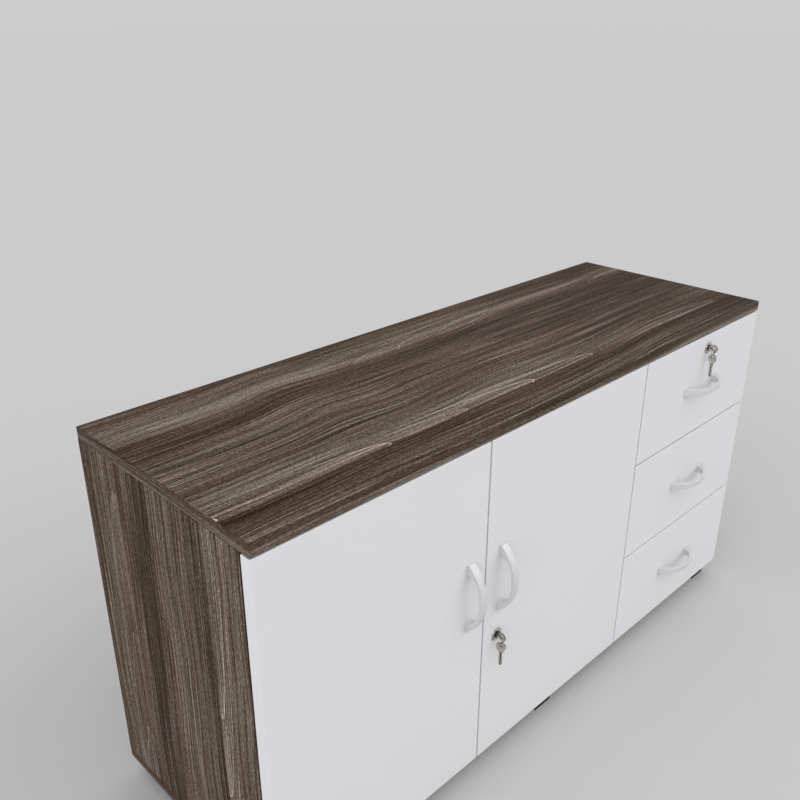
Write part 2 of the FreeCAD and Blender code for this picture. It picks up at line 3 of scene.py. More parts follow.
import bmesh
import bpy
import numpy as np
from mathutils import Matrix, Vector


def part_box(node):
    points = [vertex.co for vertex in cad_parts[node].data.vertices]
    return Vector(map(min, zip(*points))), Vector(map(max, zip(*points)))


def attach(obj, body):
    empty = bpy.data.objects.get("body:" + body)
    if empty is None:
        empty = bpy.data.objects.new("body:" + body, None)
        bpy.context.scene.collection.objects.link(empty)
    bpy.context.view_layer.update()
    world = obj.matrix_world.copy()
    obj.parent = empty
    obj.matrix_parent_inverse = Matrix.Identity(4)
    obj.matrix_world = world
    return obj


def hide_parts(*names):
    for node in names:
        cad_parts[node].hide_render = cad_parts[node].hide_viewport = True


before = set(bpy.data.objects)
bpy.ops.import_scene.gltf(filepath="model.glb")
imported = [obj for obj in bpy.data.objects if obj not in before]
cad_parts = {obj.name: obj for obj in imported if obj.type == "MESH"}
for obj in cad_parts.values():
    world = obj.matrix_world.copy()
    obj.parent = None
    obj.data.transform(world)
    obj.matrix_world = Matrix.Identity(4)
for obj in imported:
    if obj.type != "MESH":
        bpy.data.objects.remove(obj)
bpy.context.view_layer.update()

# Low storage cabinet with two doors and three drawers, in the order in which it is put together.
# X runs along the front, the fronts face -Y and Z is up, in metres.

# Feet
# Six square blocks of black plastic, each moulded as one piece with a shallow hollow under it.
# They stand under the bottom board, three in front and three behind.
MM = 0.001
FOOT_CORNER = 3 * MM
FOOT_ARRIS = 0.8 * MM
FOOT_RIM = 4 * MM
FOOT_HOLLOW = 5 * MM
FOOT_SIDE = 45 * MM
FOOT_BLACK = (12, 12, 13)
ARRIS_STEPS = 3
CORNER_STEPS = 6
MERGE_DISTANCE = 1e-6
BROAD_DETAIL = 3.0
FINE_DETAIL = 2.0
FINE_SHARE = 0.5
X_AXIS = (1, 0, 0)
Y_AXIS = (0, 1, 0)
Z_AXIS = (0, 0, 1)


def paint(red, green, blue):
    """Linear colour of a paint that is given in display values from 0 to 255."""
    shown = np.array([red, green, blue]) / 255
    light = np.where(shown <= 0.04045, shown / 12.92, ((shown + 0.055) / 1.055) ** 2.4)
    return (*light.tolist(), 1.0)


def arc(centre, radius, start, end, steps):
    """Points of a round stretch: centre plus radius times cosine and sine from start to end degrees."""
    turn = np.radians(np.linspace(start, end, steps + 1))
    return np.stack([centre[0] + radius * np.cos(turn), centre[1] + radius * np.sin(turn)], axis=-1)


def carried(profile, core=(0, 0), steps=CORNER_STEPS):
    """Profile carried round a rectangle with round corners, as a grid of points.

    A profile point is (reach, rise). Its place is a corner of the core rectangle plus reach along an
    angle that runs through that corner's quarter turn. Rise is the third coordinate.
    """
    reach, rise = np.asarray(profile, float).T
    angle = ((np.arange(4)[:, None] + np.linspace(0, 1, steps + 1)) * np.pi / 2).ravel()
    corner_x = np.repeat((1, -1, -1, 1), steps + 1) * core[0]
    corner_y = np.repeat((1, 1, -1, -1), steps + 1) * core[1]
    x = corner_x + np.outer(reach, np.cos(angle))
    y = corner_y + np.outer(reach, np.sin(angle))
    z = np.repeat(rise[:, None], len(angle), axis=1)
    return np.stack([x, y, z], axis=-1)


def placed(grid, origin, across=X_AXIS, along=Y_AXIS, out=Z_AXIS):
    """Grid moved to its place: origin plus each coordinate times the direction that it follows."""
    return np.asarray(origin, float) + grid @ np.array([across, along, out], float)


def skinned(name, grids, material, crease=35, painted_shade=None):
    """One object of several skins, each a grid of points whose columns close on themselves.

    A grid given alone is capped at its first and last row, and one given as a pair with "ring"
    closes its rows too. Points that meet are merged, and faces are turned outwards. The share of
    painted shade of each point, if there is one, becomes an attribute of the mesh.
    """
    points = []
    faces = []
    start = 0
    for grid in grids:
        ring = isinstance(grid, tuple)
        grid = grid[0] if ring else grid
        rows, columns = grid.shape[:2]
        index = start + np.arange(rows * columns).reshape(rows, columns)
        near = index if ring else index[:-1]
        far = np.roll(index, -1, axis=0) if ring else index[1:]
        quads = np.stack([near, np.roll(near, -1, axis=1), np.roll(far, -1, axis=1), far], axis=-1)
        faces += quads.reshape(-1, 4).tolist()
        faces += [] if ring else [index[0].tolist(), index[-1].tolist()]
        points.append(grid.reshape(-1, 3))
        start += rows * columns
    mesh = bpy.data.meshes.new(name)
    mesh.from_pydata(np.concatenate(points), [], faces)
    # Painted shade: a share for each point, which a material reads to darken its colour
    if painted_shade is not None:
        share = np.concatenate([part.ravel() for part in painted_shade])
        mesh.attributes.new("painted_shade", "FLOAT", "POINT").data.foreach_set("value", share)
    shell = bmesh.new()
    shell.from_mesh(mesh)
    bmesh.ops.remove_doubles(shell, verts=shell.verts, dist=MERGE_DISTANCE)
    bmesh.ops.recalc_face_normals(shell, faces=shell.faces)
    shell.to_mesh(mesh)
    shell.free()
    mesh.shade_smooth()
    mesh.set_sharp_from_angle(angle=math.radians(crease))
    mesh.materials.append(material)
    piece = bpy.data.objects.new(name, mesh)
    bpy.context.scene.collection.objects.link(piece)
    return piece


def shader_node(tree, kind, inputs=None, **settings):
    """New node of a tree with its settings. An input is a value, or the socket that it is linked to."""
    item = tree.nodes.new("ShaderNode" + kind)
    for name, value in settings.items():
        setattr(item, name, value)
    for name, value in (inputs or {}).items():
        if isinstance(value, bpy.types.NodeSocket):
            tree.links.new(value, item.inputs[name])
        else:
            item.inputs[name].default_value = value
    return item


def calc(tree, operation, first, second=0.0, third=0.0, clamp=False):
    """Socket with the result of one sum on numbers or other sockets."""
    values = {0: first, 1: second, 2: third}
    return shader_node(tree, "Math", values, operation=operation, use_clamp=clamp).outputs[0]


def group_tree(name, inputs, outputs):
    """Empty node group with number, colour or vector sockets, and its two end nodes."""
    tree = bpy.data.node_groups.new(name, "ShaderNodeTree")
    for socket, kind in inputs.items():
        tree.interface.new_socket(socket, in_out="INPUT", socket_type="NodeSocket" + kind)
    for socket, kind in outputs.items():
        tree.interface.new_socket(socket, in_out="OUTPUT", socket_type="NodeSocket" + kind)
    given = tree.nodes.new("NodeGroupInput").outputs
    result = tree.nodes.new("NodeGroupOutput").inputs
    return tree, given, result


def surface_group():
    """Grain of a moulded, painted or plated skin: fine noise for relief, broad noise for tone.

    The tone is the base colour times one plus Mottle times the sum of the broad noise and half the
    fine one, which both swing about nought. Roughness swings the same way about its own level.
    Height is the fine noise.
    """
    tree, given, result = group_tree(
        "fine_skin",
        {"Vector": "Vector", "Colour": "Color", "Mottle": "Float", "Patch": "Float",
         "Grain": "Float", "Level": "Float", "Swing": "Float"},
        {"Colour": "Color", "Roughness": "Float", "Height": "Float"},
    )
    patch = {"Vector": given["Vector"], "Scale": given["Patch"], "Detail": BROAD_DETAIL}
    broad = calc(tree, "SUBTRACT", shader_node(tree, "TexNoise", patch).outputs["Fac"], 0.5)
    speck = {"Vector": given["Vector"], "Scale": given["Grain"], "Detail": FINE_DETAIL}
    fine = shader_node(tree, "TexNoise", speck).outputs["Fac"]
    both = calc(tree, "MULTIPLY_ADD", calc(tree, "SUBTRACT", fine, 0.5), FINE_SHARE, broad)
    level = calc(tree, "MULTIPLY_ADD", both, given["Mottle"], 1.0)
    tone = shader_node(tree, "VectorMath", {0: given["Colour"]}, operation="SCALE")
    tree.links.new(level, tone.inputs["Scale"])
    tree.links.new(tone.outputs[0], result["Colour"])
    tree.links.new(calc(tree, "MULTIPLY_ADD", both, given["Swing"], given["Level"]), result["Roughness"])
    tree.links.new(fine, result["Height"])
    return tree


fine_skin = surface_group()


def fresh_material(name):
    """Empty node material, its tree and its shader, already wired to the output."""
    material = bpy.data.materials.new(name)
    material.use_nodes = True
    tree = material.node_tree
    tree.nodes.clear()
    shader = tree.nodes.new("ShaderNodeBsdfPrincipled")
    output = tree.nodes.new("ShaderNodeOutputMaterial")
    tree.links.new(shader.outputs[0], output.inputs["Surface"])
    return material, tree, shader


def fine_material(name, colour, mottle, patch, grain, level, swing, relief, **fixed):
    """Material of one colour with the fine skin over it. Fixed values go straight to the shader."""
    material, tree, shader = fresh_material(name)
    place = shader_node(tree, "TexCoord").outputs["Object"]
    values = {"Vector": place, "Colour": paint(*colour), "Mottle": mottle, "Patch": patch,
              "Grain": grain, "Level": level, "Swing": swing}
    skin = shader_node(tree, "Group", values, node_tree=fine_skin)
    bump = shader_node(tree, "Bump", {"Height": skin.outputs["Height"], "Strength": 1.0, "Distance": relief})
    tree.links.new(skin.outputs["Colour"], shader.inputs["Base Color"])
    tree.links.new(skin.outputs["Roughness"], shader.inputs["Roughness"])
    tree.links.new(bump.outputs[0], shader.inputs["Normal"])
    for socket, value in fixed.items():
        shader.inputs[socket.replace("_", " ")].default_value = value
    return material


black_plastic = fine_material(
    "black_plastic", FOOT_BLACK, mottle=0.5, patch=60, grain=2600, level=0.55, swing=0.25, relief=0.00008,
    Specular_IOR_Level=0.12,
)


def fitted(piece, body, slot, *nodes):
    """Fix a piece to a body of the frame and hide the parts of the frame that it stands for. The slot, which
    would name its finish, is not used.
    """
    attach(piece, body)
    if nodes:
        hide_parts(*nodes)


feet_low, feet_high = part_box("feet")
foot_wide = (feet_high.x - feet_low.x - FOOT_SIDE) / 2
foot_deep = (feet_high.y - feet_low.y - FOOT_SIDE) / 2
foot_middle = (feet_low + feet_high) / 2
foot_lip = FOOT_CORNER - FOOT_ARRIS
foot_inside = FOOT_CORNER - FOOT_RIM
foot_profile = np.concatenate([
    [(foot_inside, FOOT_HOLLOW), (foot_inside, FOOT_ARRIS / 2), (foot_inside + FOOT_ARRIS / 2, 0)],
    arc((foot_lip, FOOT_ARRIS), FOOT_ARRIS, -90, 0, ARRIS_STEPS),
    arc((foot_lip, feet_high.z - FOOT_ARRIS), FOOT_ARRIS, 0, 90, ARRIS_STEPS),
    [(0, feet_high.z)],
])
foot = carried(foot_profile, (FOOT_SIDE / 2 - FOOT_CORNER,) * 2)
foot_places = [
    (foot_middle.x + column * foot_wide, foot_middle.y + row * foot_deep, 0)
    for column in (-1, 0, 1)
    for row in (-1, 1)
]
feet = skinned("moulded_feet", [placed(foot, place) for place in foot_places], black_plastic)
fitted(feet, "carcass", "black_plastic", "feet")

# Foot screws
# Two cross-headed screws of zinc plated steel in each foot. They hang by their heads from the
# roof of its hollow and bite into the bottom board.
FOOT_SCREW_STEP = 24 * MM
FOOT_SCREW_HEAD = 4 * MM
FOOT_SCREW_RISE = 1.9 * MM
FOOT_SCREW_SHANK = 2 * MM
THREAD_PITCH = 1.8 * MM
THREAD_BITE = 0.25
SCREW_COLUMNS = 24
SCREW_ROWS = 22
DOME_ANGLES = (0, 18, 36, 50)
CROSS_ARM = 0.62
CROSS_TAPER = 0.72
CROSS_FLOOR = 0.25
CROSS_FLANK = 15
TURN_COLUMNS = 48
LEAST = 1e-6
ZINC = (188, 189, 190)
DOWN = (0, 0, -1)
FORWARD = (0, -1, 0)


def spokes(columns):
    """Angles of the columns of a turned surface, evenly round the circle."""
    return np.arange(columns) * 2 * np.pi / columns


def turned(rings, columns=TURN_COLUMNS):
    """Surface round the third axis: reach times cosine and sine of the column's angle, and rise.

    A ring is a pair of reach and rise, each one number or one for every column.
    """
    angle = spokes(columns)
    reach = np.stack([np.broadcast_to(ring[0], columns) for ring in rings])
    rise = np.stack([np.broadcast_to(ring[1], columns) for ring in rings])
    return np.stack([reach * np.cos(angle), reach * np.sin(angle), rise], axis=-1)


def cross(columns, arm):
    """Reach of a cross-shaped recess: the nearer of an arm's end and its flank, at an angle off its axis."""
    fold = np.abs((spokes(columns) + np.pi / 4) % (np.pi / 2) - np.pi / 4)
    flank = arm * math.tan(math.radians(CROSS_FLANK))
    return np.minimum(arm / np.cos(fold), flank / np.maximum(np.sin(fold), LEAST))


def thread(radius, bite, rise, pitch, columns):
    """Rings of a screw thread. The reach falls by bite and rises again once in each pitch of rise.

    The place in the pitch is the rise over the pitch less the share of a turn, which is a helix.
    """
    turn = np.asarray(rise)[:, None] / pitch - spokes(columns) / (2 * np.pi)
    reach = radius - bite * np.abs(turn % 1 * 2 - 1)
    return list(zip(reach, rise))


def screw(head, rise, shank, length):
    """Cross-headed screw along the third axis, with its head's seat at nought and its shank below it.

    The shank is a thread that shrinks to a point. The head is a quarter ellipse with a cross sunk in it.
    """
    rows = np.linspace(-length, 0, SCREW_ROWS)
    point = np.clip((rows + length) / (2 * shank), 0, 1)
    coil = thread(shank, THREAD_BITE * shank, rows, THREAD_PITCH, SCREW_COLUMNS)
    rings = [(reach * share, row) for (reach, row), share in zip(coil, point)]
    rings += [(head * math.cos(turn), rise * math.sin(turn)) for turn in np.radians(DOME_ANGLES)]
    rim = cross(SCREW_COLUMNS, CROSS_ARM * head)
    rings.append((rim, rise * np.sqrt(1 - (rim / head) ** 2)))
    rings.append((rim * CROSS_TAPER, CROSS_FLOOR * rise))
    return turned(rings, SCREW_COLUMNS)


zinc = fine_material(
    "zinc_steel", ZINC, mottle=0.22, patch=110, grain=1400, level=0.36, swing=0.2, relief=0.00002,
    Metallic=0.75,
)
foot_screw_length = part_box("foot_screws")[1].z - FOOT_HOLLOW
foot_screw = screw(FOOT_SCREW_HEAD, FOOT_SCREW_RISE, FOOT_SCREW_SHANK, foot_screw_length)
screw_places = [
    (x + side * FOOT_SCREW_STEP / 2, y, FOOT_HOLLOW)
    for x, y, _ in foot_places
    for side in (-1, 1)
]
foot_screws = skinned(
    "foot_wood_screws",
    [placed(foot_screw, place, X_AXIS, FORWARD, DOWN) for place in screw_places],
    zinc,
)
fitted(foot_screws, "carcass", "zinc_steel", "foot_screws")

# Bottom board
# Particle board under a printed woodgrain paper, pressed hard and matt, with the grain along the
# board. It runs under the side panels and carries everything.
WOOD_DARK = (31, 18, 6)
WOOD_MIDDLE = (76, 61, 47)
WOOD_PALE = (130, 119, 109)
WOOD_LINE = (190, 178, 165)
WOOD_OLIVE = (74, 64, 47)
WOOD_ROSY = (80, 60, 49)
# Stretch along and across the grain, detail and weight of each layer of noise
GRAIN_LAYERS = (
    (0.5, 17.0, 1.0, 0.4),
    (1.0, 55.0, 2.0, 0.34),
    (1.5, 270.0, 1.0, 0.6),
    (5.0, 560.0, 1.0, 1.7),
    (240.0, 900.0, 1.0, 1.3),
)
# Where each noise lies on the third axis, so that no two are alike
NOISE_PLANES = {
    "wander": 0.7, "ripple": 1.9, "layers": 2.3, "uneven": 3.1, "ragged": 6.4, "cleft": 9.6, "lean": 12.4,
}
NOISE_ROUGHNESS = 0.58
WANDER_STRETCH = (2.2, 4.0)
WANDER_REACH = 0.04
RIPPLE_STRETCH = (7.0, 16.0)
RIPPLE_REACH = 0.007
CLEFT_STRETCH = (1.3, 140.0)
CLEFT_HALF = 0.045
CLEFT_DEPTH = 6.5
LINE_TONE = 1.4
LEAN_STRETCH = (0.8, 24.0)
LEAN_GAIN = 1.9
ROUGH_LEVEL = 0.52
ROUGH_SWING = 0.1
WOOD_LEVEL = 0.55
WOOD_RELIEF = 0.12 * MM
WOOD_GLOSS = 0.03
GRAIN_BUMP = 0.6
BOTTOM_ALONG = 6.3
PLANK_SPAN = 0.35
# Place across the grain and tone of the planks there
PLANK_TONES = (
    (-0.30, 0.03), (-0.25, 0.08), (-0.208, 0.04), (-0.206, -0.12), (-0.15, -0.11), (-0.11, 0.08),
    (-0.07, 0.1), (-0.04, -0.07), (-0.001, -0.18), (0.001, 0.2), (0.03, 0.14), (0.075, 0.02),
    (0.085, 0.0), (0.092, -0.12), (0.105, 0.1), (0.125, 0.12), (0.14, -0.02), (0.16, 0.08), (0.18, -0.06),
    (0.2, -0.17), (0.23, -0.14), (0.25, 0.17), (0.27, 0.2), (0.3, 0.05), (0.335, -0.14),
)
KNOT_PLACE = -0.267
KNOT_SPAN = 0.07
KNOT_RISE = 0.011
KNOT_REACH = (0.05, 0.1)
FADE_SPAN = (0.0, 0.6)
LINE_FADE = 3.2
SECOND_JOINT = (0.0165, 0.2235)
UNEVEN_STRETCH = (2.6, 9.0)
RAGGED_STRETCH = (16.0, 90.0)
RAGGED_SHARE = 0.14
SWING_SIZE = 0.56
SWING_PACE = 5.7
SWING_START = 0.3
FLAME_START = 0.62
FLAME_AXIS = 0.005
FLAME_FLANK = (1.1, 0.5)
TIP_FLANK = (0.7, 0.1)
TIP_LIGHT = 0.5
LOT_PACE = 2.1
LOT_START = 1.2
LOT_LIGHT = 0.36
LINE_WIDTH = (0.0042, 0.0012)
RISING_TONE = 0.4
PAST_TONE = -0.7
PAST_POWER = 4.0
# Shape of the tongues in each lane, and the weights of their tone and of their lines
FLAME_LANES = (
    ({"Half": 0.036, "Length": 0.36, "Period": 0.224, "Wobble": 0.08}, 0.2, 1.0),
    ({"Half": 0.05, "Length": 0.34, "Period": 0.21, "Wobble": 0.3}, 0.1, 0.5),
)
GRAIN_ALONG_X = (0, 0, 0)


def noise(tree, along, across, stretch, detail, shift=0.0):
    """Noise drawn out along the grain: the two places times their stretch, in a plane of its own."""
    spread = {
        "X": calc(tree, "MULTIPLY", along, stretch[0]),
        "Y": calc(tree, "MULTIPLY", across, stretch[1]),
        "Z": shift,
    }
    place = shader_node(tree, "CombineXYZ", spread).outputs[0]
    values = {"Vector": place, "Scale": 1.0, "Detail": detail, "Roughness": NOISE_ROUGHNESS}
    return calc(tree, "SUBTRACT", shader_node(tree, "TexNoise", values).outputs["Fac"], 0.5)


def eased(tree, value, start, end):
    """Mask that rises smoothly from nought to one as a value goes from start to end."""
    span = {"Value": value, "From Min": start, "From Max": end}
    return shader_node(tree, "MapRange", span, interpolation_type="SMOOTHSTEP").outputs[0]


def flame_group():
    """Half tongues of the growth rings beside a joint between two planks.

    The offset is the distance aside from the axis over Half a lane. The place along the grain plus
    Length times the square of the offset has curves that are tongues with their tips on the axis, and
    the joint cuts off their other halves. Two noises make that place uneven and ragged.
    Its count in Periods, plus a sine that makes them unequal and less the whole number, rises through
    each tongue: the tone is dark past an edge and grows paler towards the next. A thin line lies on the
    edge, where the rest of the period over the place's slope is small. It is brightest at the tip, and
    a sine of its number sets its light.
    """
    tree, given, result = group_tree(
        "grain_flame",
        {"Along": "Float", "Across": "Float", "Aside": "Float", "Half": "Float", "Length": "Float",
         "Period": "Float", "Wobble": "Float"},
        {"Tone": "Float", "Line": "Float"},
    )
    offset = calc(tree, "DIVIDE", given["Aside"], given["Half"])
    square = calc(tree, "MULTIPLY", offset, offset)
    place = calc(tree, "MULTIPLY_ADD", square, given["Length"], given["Along"])
    uneven = noise(tree, given["Along"], given["Across"], UNEVEN_STRETCH, 0.0, NOISE_PLANES["uneven"])
    place = calc(tree, "MULTIPLY_ADD", uneven, given["Wobble"], place)
    ragged = noise(tree, given["Along"], given["Across"], RAGGED_STRETCH, 1.0, NOISE_PLANES["ragged"])
    ragged_reach = calc(tree, "MULTIPLY", given["Wobble"], RAGGED_SHARE)
    place = calc(tree, "MULTIPLY_ADD", ragged, ragged_reach, place)
    periods = calc(tree, "ADD", calc(tree, "DIVIDE", place, given["Period"]), FLAME_START)
    turn = calc(tree, "MULTIPLY_ADD", place, SWING_PACE, SWING_START)
    periods = calc(tree, "MULTIPLY_ADD", calc(tree, "SINE", turn), SWING_SIZE, periods)
    whole = calc(tree, "FLOOR", periods)
    count = calc(tree, "SUBTRACT", periods, whole)
    lacking = calc(tree, "SUBTRACT", 1.0, count)
    curve = calc(tree, "DIVIDE", calc(tree, "MULTIPLY", given["Length"], 2.0), given["Half"])
    steep = calc(tree, "MULTIPLY", offset, curve)
    slope = calc(tree, "SQRT", calc(tree, "MULTIPLY_ADD", steep, steep, 1.0))
    distance = calc(tree, "DIVIDE", calc(tree, "MULTIPLY", lacking, given["Period"]), slope)
    inside = calc(tree, "GREATER_THAN", given["Aside"], -FLAME_AXIS)
    mask = calc(tree, "MULTIPLY", eased(tree, offset, *FLAME_FLANK), inside)
    tip = calc(tree, "MULTIPLY_ADD", eased(tree, offset, *TIP_FLANK), TIP_LIGHT, 1 - TIP_LIGHT)
    lot = calc(tree, "SINE", calc(tree, "MULTIPLY_ADD", whole, LOT_PACE, LOT_START))
    lot = calc(tree, "MULTIPLY_ADD", lot, LOT_LIGHT, 1 - LOT_LIGHT)
    bright = calc(tree, "MULTIPLY", lot, calc(tree, "MULTIPLY", tip, mask))
    line = calc(tree, "MULTIPLY", eased(tree, distance, *LINE_WIDTH), bright)
    past = calc(tree, "POWER", lacking, PAST_POWER)
    swing = calc(tree, "MULTIPLY_ADD", count, RISING_TONE, calc(tree, "MULTIPLY", past, PAST_TONE))
    tree.links.new(calc(tree, "MULTIPLY", swing, mask), result["Tone"])
    tree.links.new(line, result["Line"])
    return tree


grain_flame = flame_group()


def wood_group():
    """Printed dark woodgrain of planks side by side, with noise at five widths drawn out along them.

    Reach is the place across the grain from the joint at Lane, on the side that Way gives. A table of
    tones over the reach makes dark and pale planks, which bulge round a knot by a bell curve. The place
    across the grain wanders with slow noise, and streaks, lines and pores are added to the tone. Thin
    dark clefts lie where a noise crosses nought. Half tongues lie beside the joint and, turned round,
    beyond a second one on either side. Fade darkens the tone along the board and dims the tongues'
    lines. The tone picks a brown between dark and pale, and slow noise leans it to olive or to rose.
    Edge says how far the place through the board counts as a place across it, which draws the lines on
    over an edge.
    """
    tree, given, result = group_tree(
        "wood_grain",
        {"Vector": "Vector", "Edge": "Float", "Level": "Float", "Contrast": "Float", "Lane": "Float",
         "Way": "Float", "Flame": "Float", "Fade": "Float"},
        {"Colour": "Color", "Roughness": "Float", "Height": "Float"},
    )
    apart = shader_node(tree, "SeparateXYZ", {"Vector": given["Vector"]}).outputs
    along = apart["X"]
    laid = calc(tree, "MULTIPLY_ADD", apart["Z"], given["Edge"], apart["Y"])
    reach = calc(tree, "MULTIPLY", calc(tree, "SUBTRACT", laid, given["Lane"]), given["Way"])
    knot = calc(tree, "DIVIDE", calc(tree, "SUBTRACT", along, KNOT_PLACE), KNOT_SPAN)
    knot = calc(tree, "EXPONENT", calc(tree, "MULTIPLY", calc(tree, "MULTIPLY", knot, knot), -1.0))
    bulge = calc(tree, "MULTIPLY", knot, -KNOT_RISE)
    bulge = calc(tree, "MULTIPLY", bulge, eased(tree, reach, *KNOT_REACH))
    reach = calc(tree, "ADD", reach, bulge)
    laid = calc(tree, "MULTIPLY_ADD", bulge, given["Way"], laid)
    wander = noise(tree, along, laid, WANDER_STRETCH, 1.0, NOISE_PLANES["wander"])
    ripple = noise(tree, along, laid, RIPPLE_STRETCH, 1.0, NOISE_PLANES["ripple"])
    across = calc(tree, "MULTIPLY_ADD", wander, WANDER_REACH, laid)
    across = calc(tree, "MULTIPLY_ADD", ripple, RIPPLE_REACH, across)
    plank_place = calc(tree, "MULTIPLY_ADD", reach, 0.5 / PLANK_SPAN, 0.5)
    planks = shader_node(tree, "ValToRGB", {"Fac": plank_place})
    plank_stops = planks.color_ramp.elements
    plank_stops.remove(plank_stops[1])
    for place, level in PLANK_TONES:
        stop = plank_stops.new(0.5 + 0.5 * place / PLANK_SPAN)
        stop.color = (0.5 + level, 0.5 + level, 0.5 + level, 1.0)
    plank_stops.remove(plank_stops[0])
    swing = calc(tree, "SUBTRACT", planks.outputs["Color"], 0.5)
    for plane, (slow, quick, detail, weight) in enumerate(GRAIN_LAYERS):
        layer = noise(tree, along, across, (slow, quick), detail, NOISE_PLANES["layers"] + plane)
        swing = calc(tree, "MULTIPLY_ADD", layer, weight, swing)
    cleft = calc(tree, "ABSOLUTE", noise(tree, along, across, CLEFT_STRETCH, 1.0, NOISE_PLANES["cleft"]))
    cleft = calc(tree, "MINIMUM", calc(tree, "SUBTRACT", cleft, CLEFT_HALF), 0.0)
    swing = calc(tree, "MULTIPLY_ADD", cleft, CLEFT_DEPTH, swing)
    beyond = calc(tree, "ABSOLUTE", calc(tree, "SUBTRACT", reach, SECOND_JOINT[0]))
    beyond = calc(tree, "SUBTRACT", beyond, SECOND_JOINT[1])
    fading = calc(tree, "MULTIPLY", eased(tree, along, *FADE_SPAN), given["Fade"])
    bright = calc(tree, "MULTIPLY", calc(tree, "MULTIPLY_ADD", fading, -LINE_FADE, 1.0), given["Flame"])
    back = calc(tree, "MULTIPLY", along, -1.0)
    runs = ((along, reach), (back, beyond))
    for (run, past_joint), (shape, swell_weight, line_weight) in zip(runs, FLAME_LANES):
        aside = calc(tree, "SUBTRACT", past_joint, FLAME_AXIS)
        values = {"Along": run, "Across": across, "Aside": aside, **shape}
        flame = shader_node(tree, "Group", values, node_tree=grain_flame)
        swell = calc(tree, "MULTIPLY", flame.outputs["Tone"], given["Flame"])
        swing = calc(tree, "MULTIPLY_ADD", swell, swell_weight, swing)
        line = calc(tree, "MULTIPLY", flame.outputs["Line"], bright)
        swing = calc(tree, "MULTIPLY_ADD", line, line_weight, swing)
    level = calc(tree, "SUBTRACT", given["Level"], fading)
    tone = calc(tree, "MULTIPLY_ADD", swing, given["Contrast"], level)
    ramp = shader_node(tree, "ValToRGB", {"Fac": calc(tree, "MULTIPLY", tone, 1 / LINE_TONE)})
    stops = ramp.color_ramp.elements
    stops[0].color = paint(*WOOD_DARK)
    stops[1].color = paint(*WOOD_LINE)
    stops.new(0.5 / LINE_TONE).color = paint(*WOOD_MIDDLE)
    stops.new(1 / LINE_TONE).color = paint(*WOOD_PALE)
    leaning = noise(tree, along, across, LEAN_STRETCH, 2.0, NOISE_PLANES["lean"])
    colour = ramp.outputs["Color"]
    for sign, tint in ((1.0, WOOD_OLIVE), (-1.0, WOOD_ROSY)):
        lean = calc(tree, "MULTIPLY", leaning, LEAN_GAIN * sign, clamp=True)
        share = np.array(paint(*tint)) / np.array(paint(*WOOD_MIDDLE))
        tinted = shader_node(tree, "Mix", {6: colour, 7: (*share[:3].tolist(), 1.0), 0: 1.0},
                             data_type="RGBA", blend_type="MULTIPLY").outputs[2]
        colour = shader_node(tree, "Mix", {0: lean, 6: colour, 7: tinted}, data_type="RGBA").outputs[2]
    tree.links.new(colour, result["Colour"])
    tree.links.new(calc(tree, "MULTIPLY_ADD", tone, ROUGH_SWING, ROUGH_LEVEL), result["Roughness"])
    tree.links.new(tone, result["Height"])
    return tree


wood_grain = wood_group()


def wood_material(name, turn, shift, relief=WOOD_RELIEF, gloss=WOOD_GLOSS, **grains):
    """Woodgrain turned along a board and shifted along, across and through it, with its planks and flames."""
    material, tree, shader = fresh_material(name)
    place = shader_node(tree, "TexCoord").outputs["Object"]
    mapping = {"Vector": place, "Rotation": turn, "Location": shift}
    turned_place = shader_node(tree, "Mapping", mapping).outputs[0]
    values = {"Vector": turned_place, "Edge": 1.0, "Level": WOOD_LEVEL, "Contrast": 1.0, "Way": 1.0, **grains}
    grain = shader_node(tree, "Group", values, node_tree=wood_grain)
    height = grain.outputs["Height"]
    bump = shader_node(tree, "Bump", {"Height": height, "Strength": GRAIN_BUMP, "Distance": relief})
    tree.links.new(grain.outputs["Colour"], shader.inputs["Base Color"])
    tree.links.new(grain.outputs["Roughness"], shader.inputs["Roughness"])
    tree.links.new(bump.outputs[0], shader.inputs["Normal"])
    shader.inputs["Specular IOR Level"].default_value = gloss
    return material


def dress(node, material):
    """Give a part of the frame its finish."""
    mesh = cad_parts[node].data
    mesh.materials.clear()
    mesh.materials.append(material)


dress("bottom_panel", wood_material("bottom_woodgrain", GRAIN_ALONG_X, (BOTTOM_ALONG, 0, 0)))

# Side panels and divider
# Uprights of the same board, with the grain running from floor to top. The sides stand on the
# bottom board, and the divider parts the cupboard from the drawers.
GRAIN_UPRIGHT = (0, math.radians(-90), 0)
SIDE_JOINT = -86.5 * MM
LEFT_ALONG = 0.095
LEFT_ASIDE = 6.1
RIGHT_ALONG = 9.7
DIVIDER_ALONG = 17.3
SIDE_GRAIN = {"Level": 0.6, "Contrast": 0.94, "Way": -1.0, "Flame": 1.0}
left_shift = (LEFT_ALONG, LEFT_ASIDE, -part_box("left_side_panel")[0].x)
dress("left_side_panel", wood_material(
    "left_woodgrain", GRAIN_UPRIGHT, left_shift, Lane=SIDE_JOINT + LEFT_ASIDE, **SIDE_GRAIN))
right_shift = (RIGHT_ALONG, 0, -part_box("right_side_panel")[1].x)
dress("right_side_panel", wood_material(
    "right_woodgrain", GRAIN_UPRIGHT, right_shift, Lane=SIDE_JOINT, **SIDE_GRAIN))
dress("divider_panel", wood_material("divider_woodgrain", GRAIN_UPRIGHT, (DIVIDER_ALONG, 0, 0)))

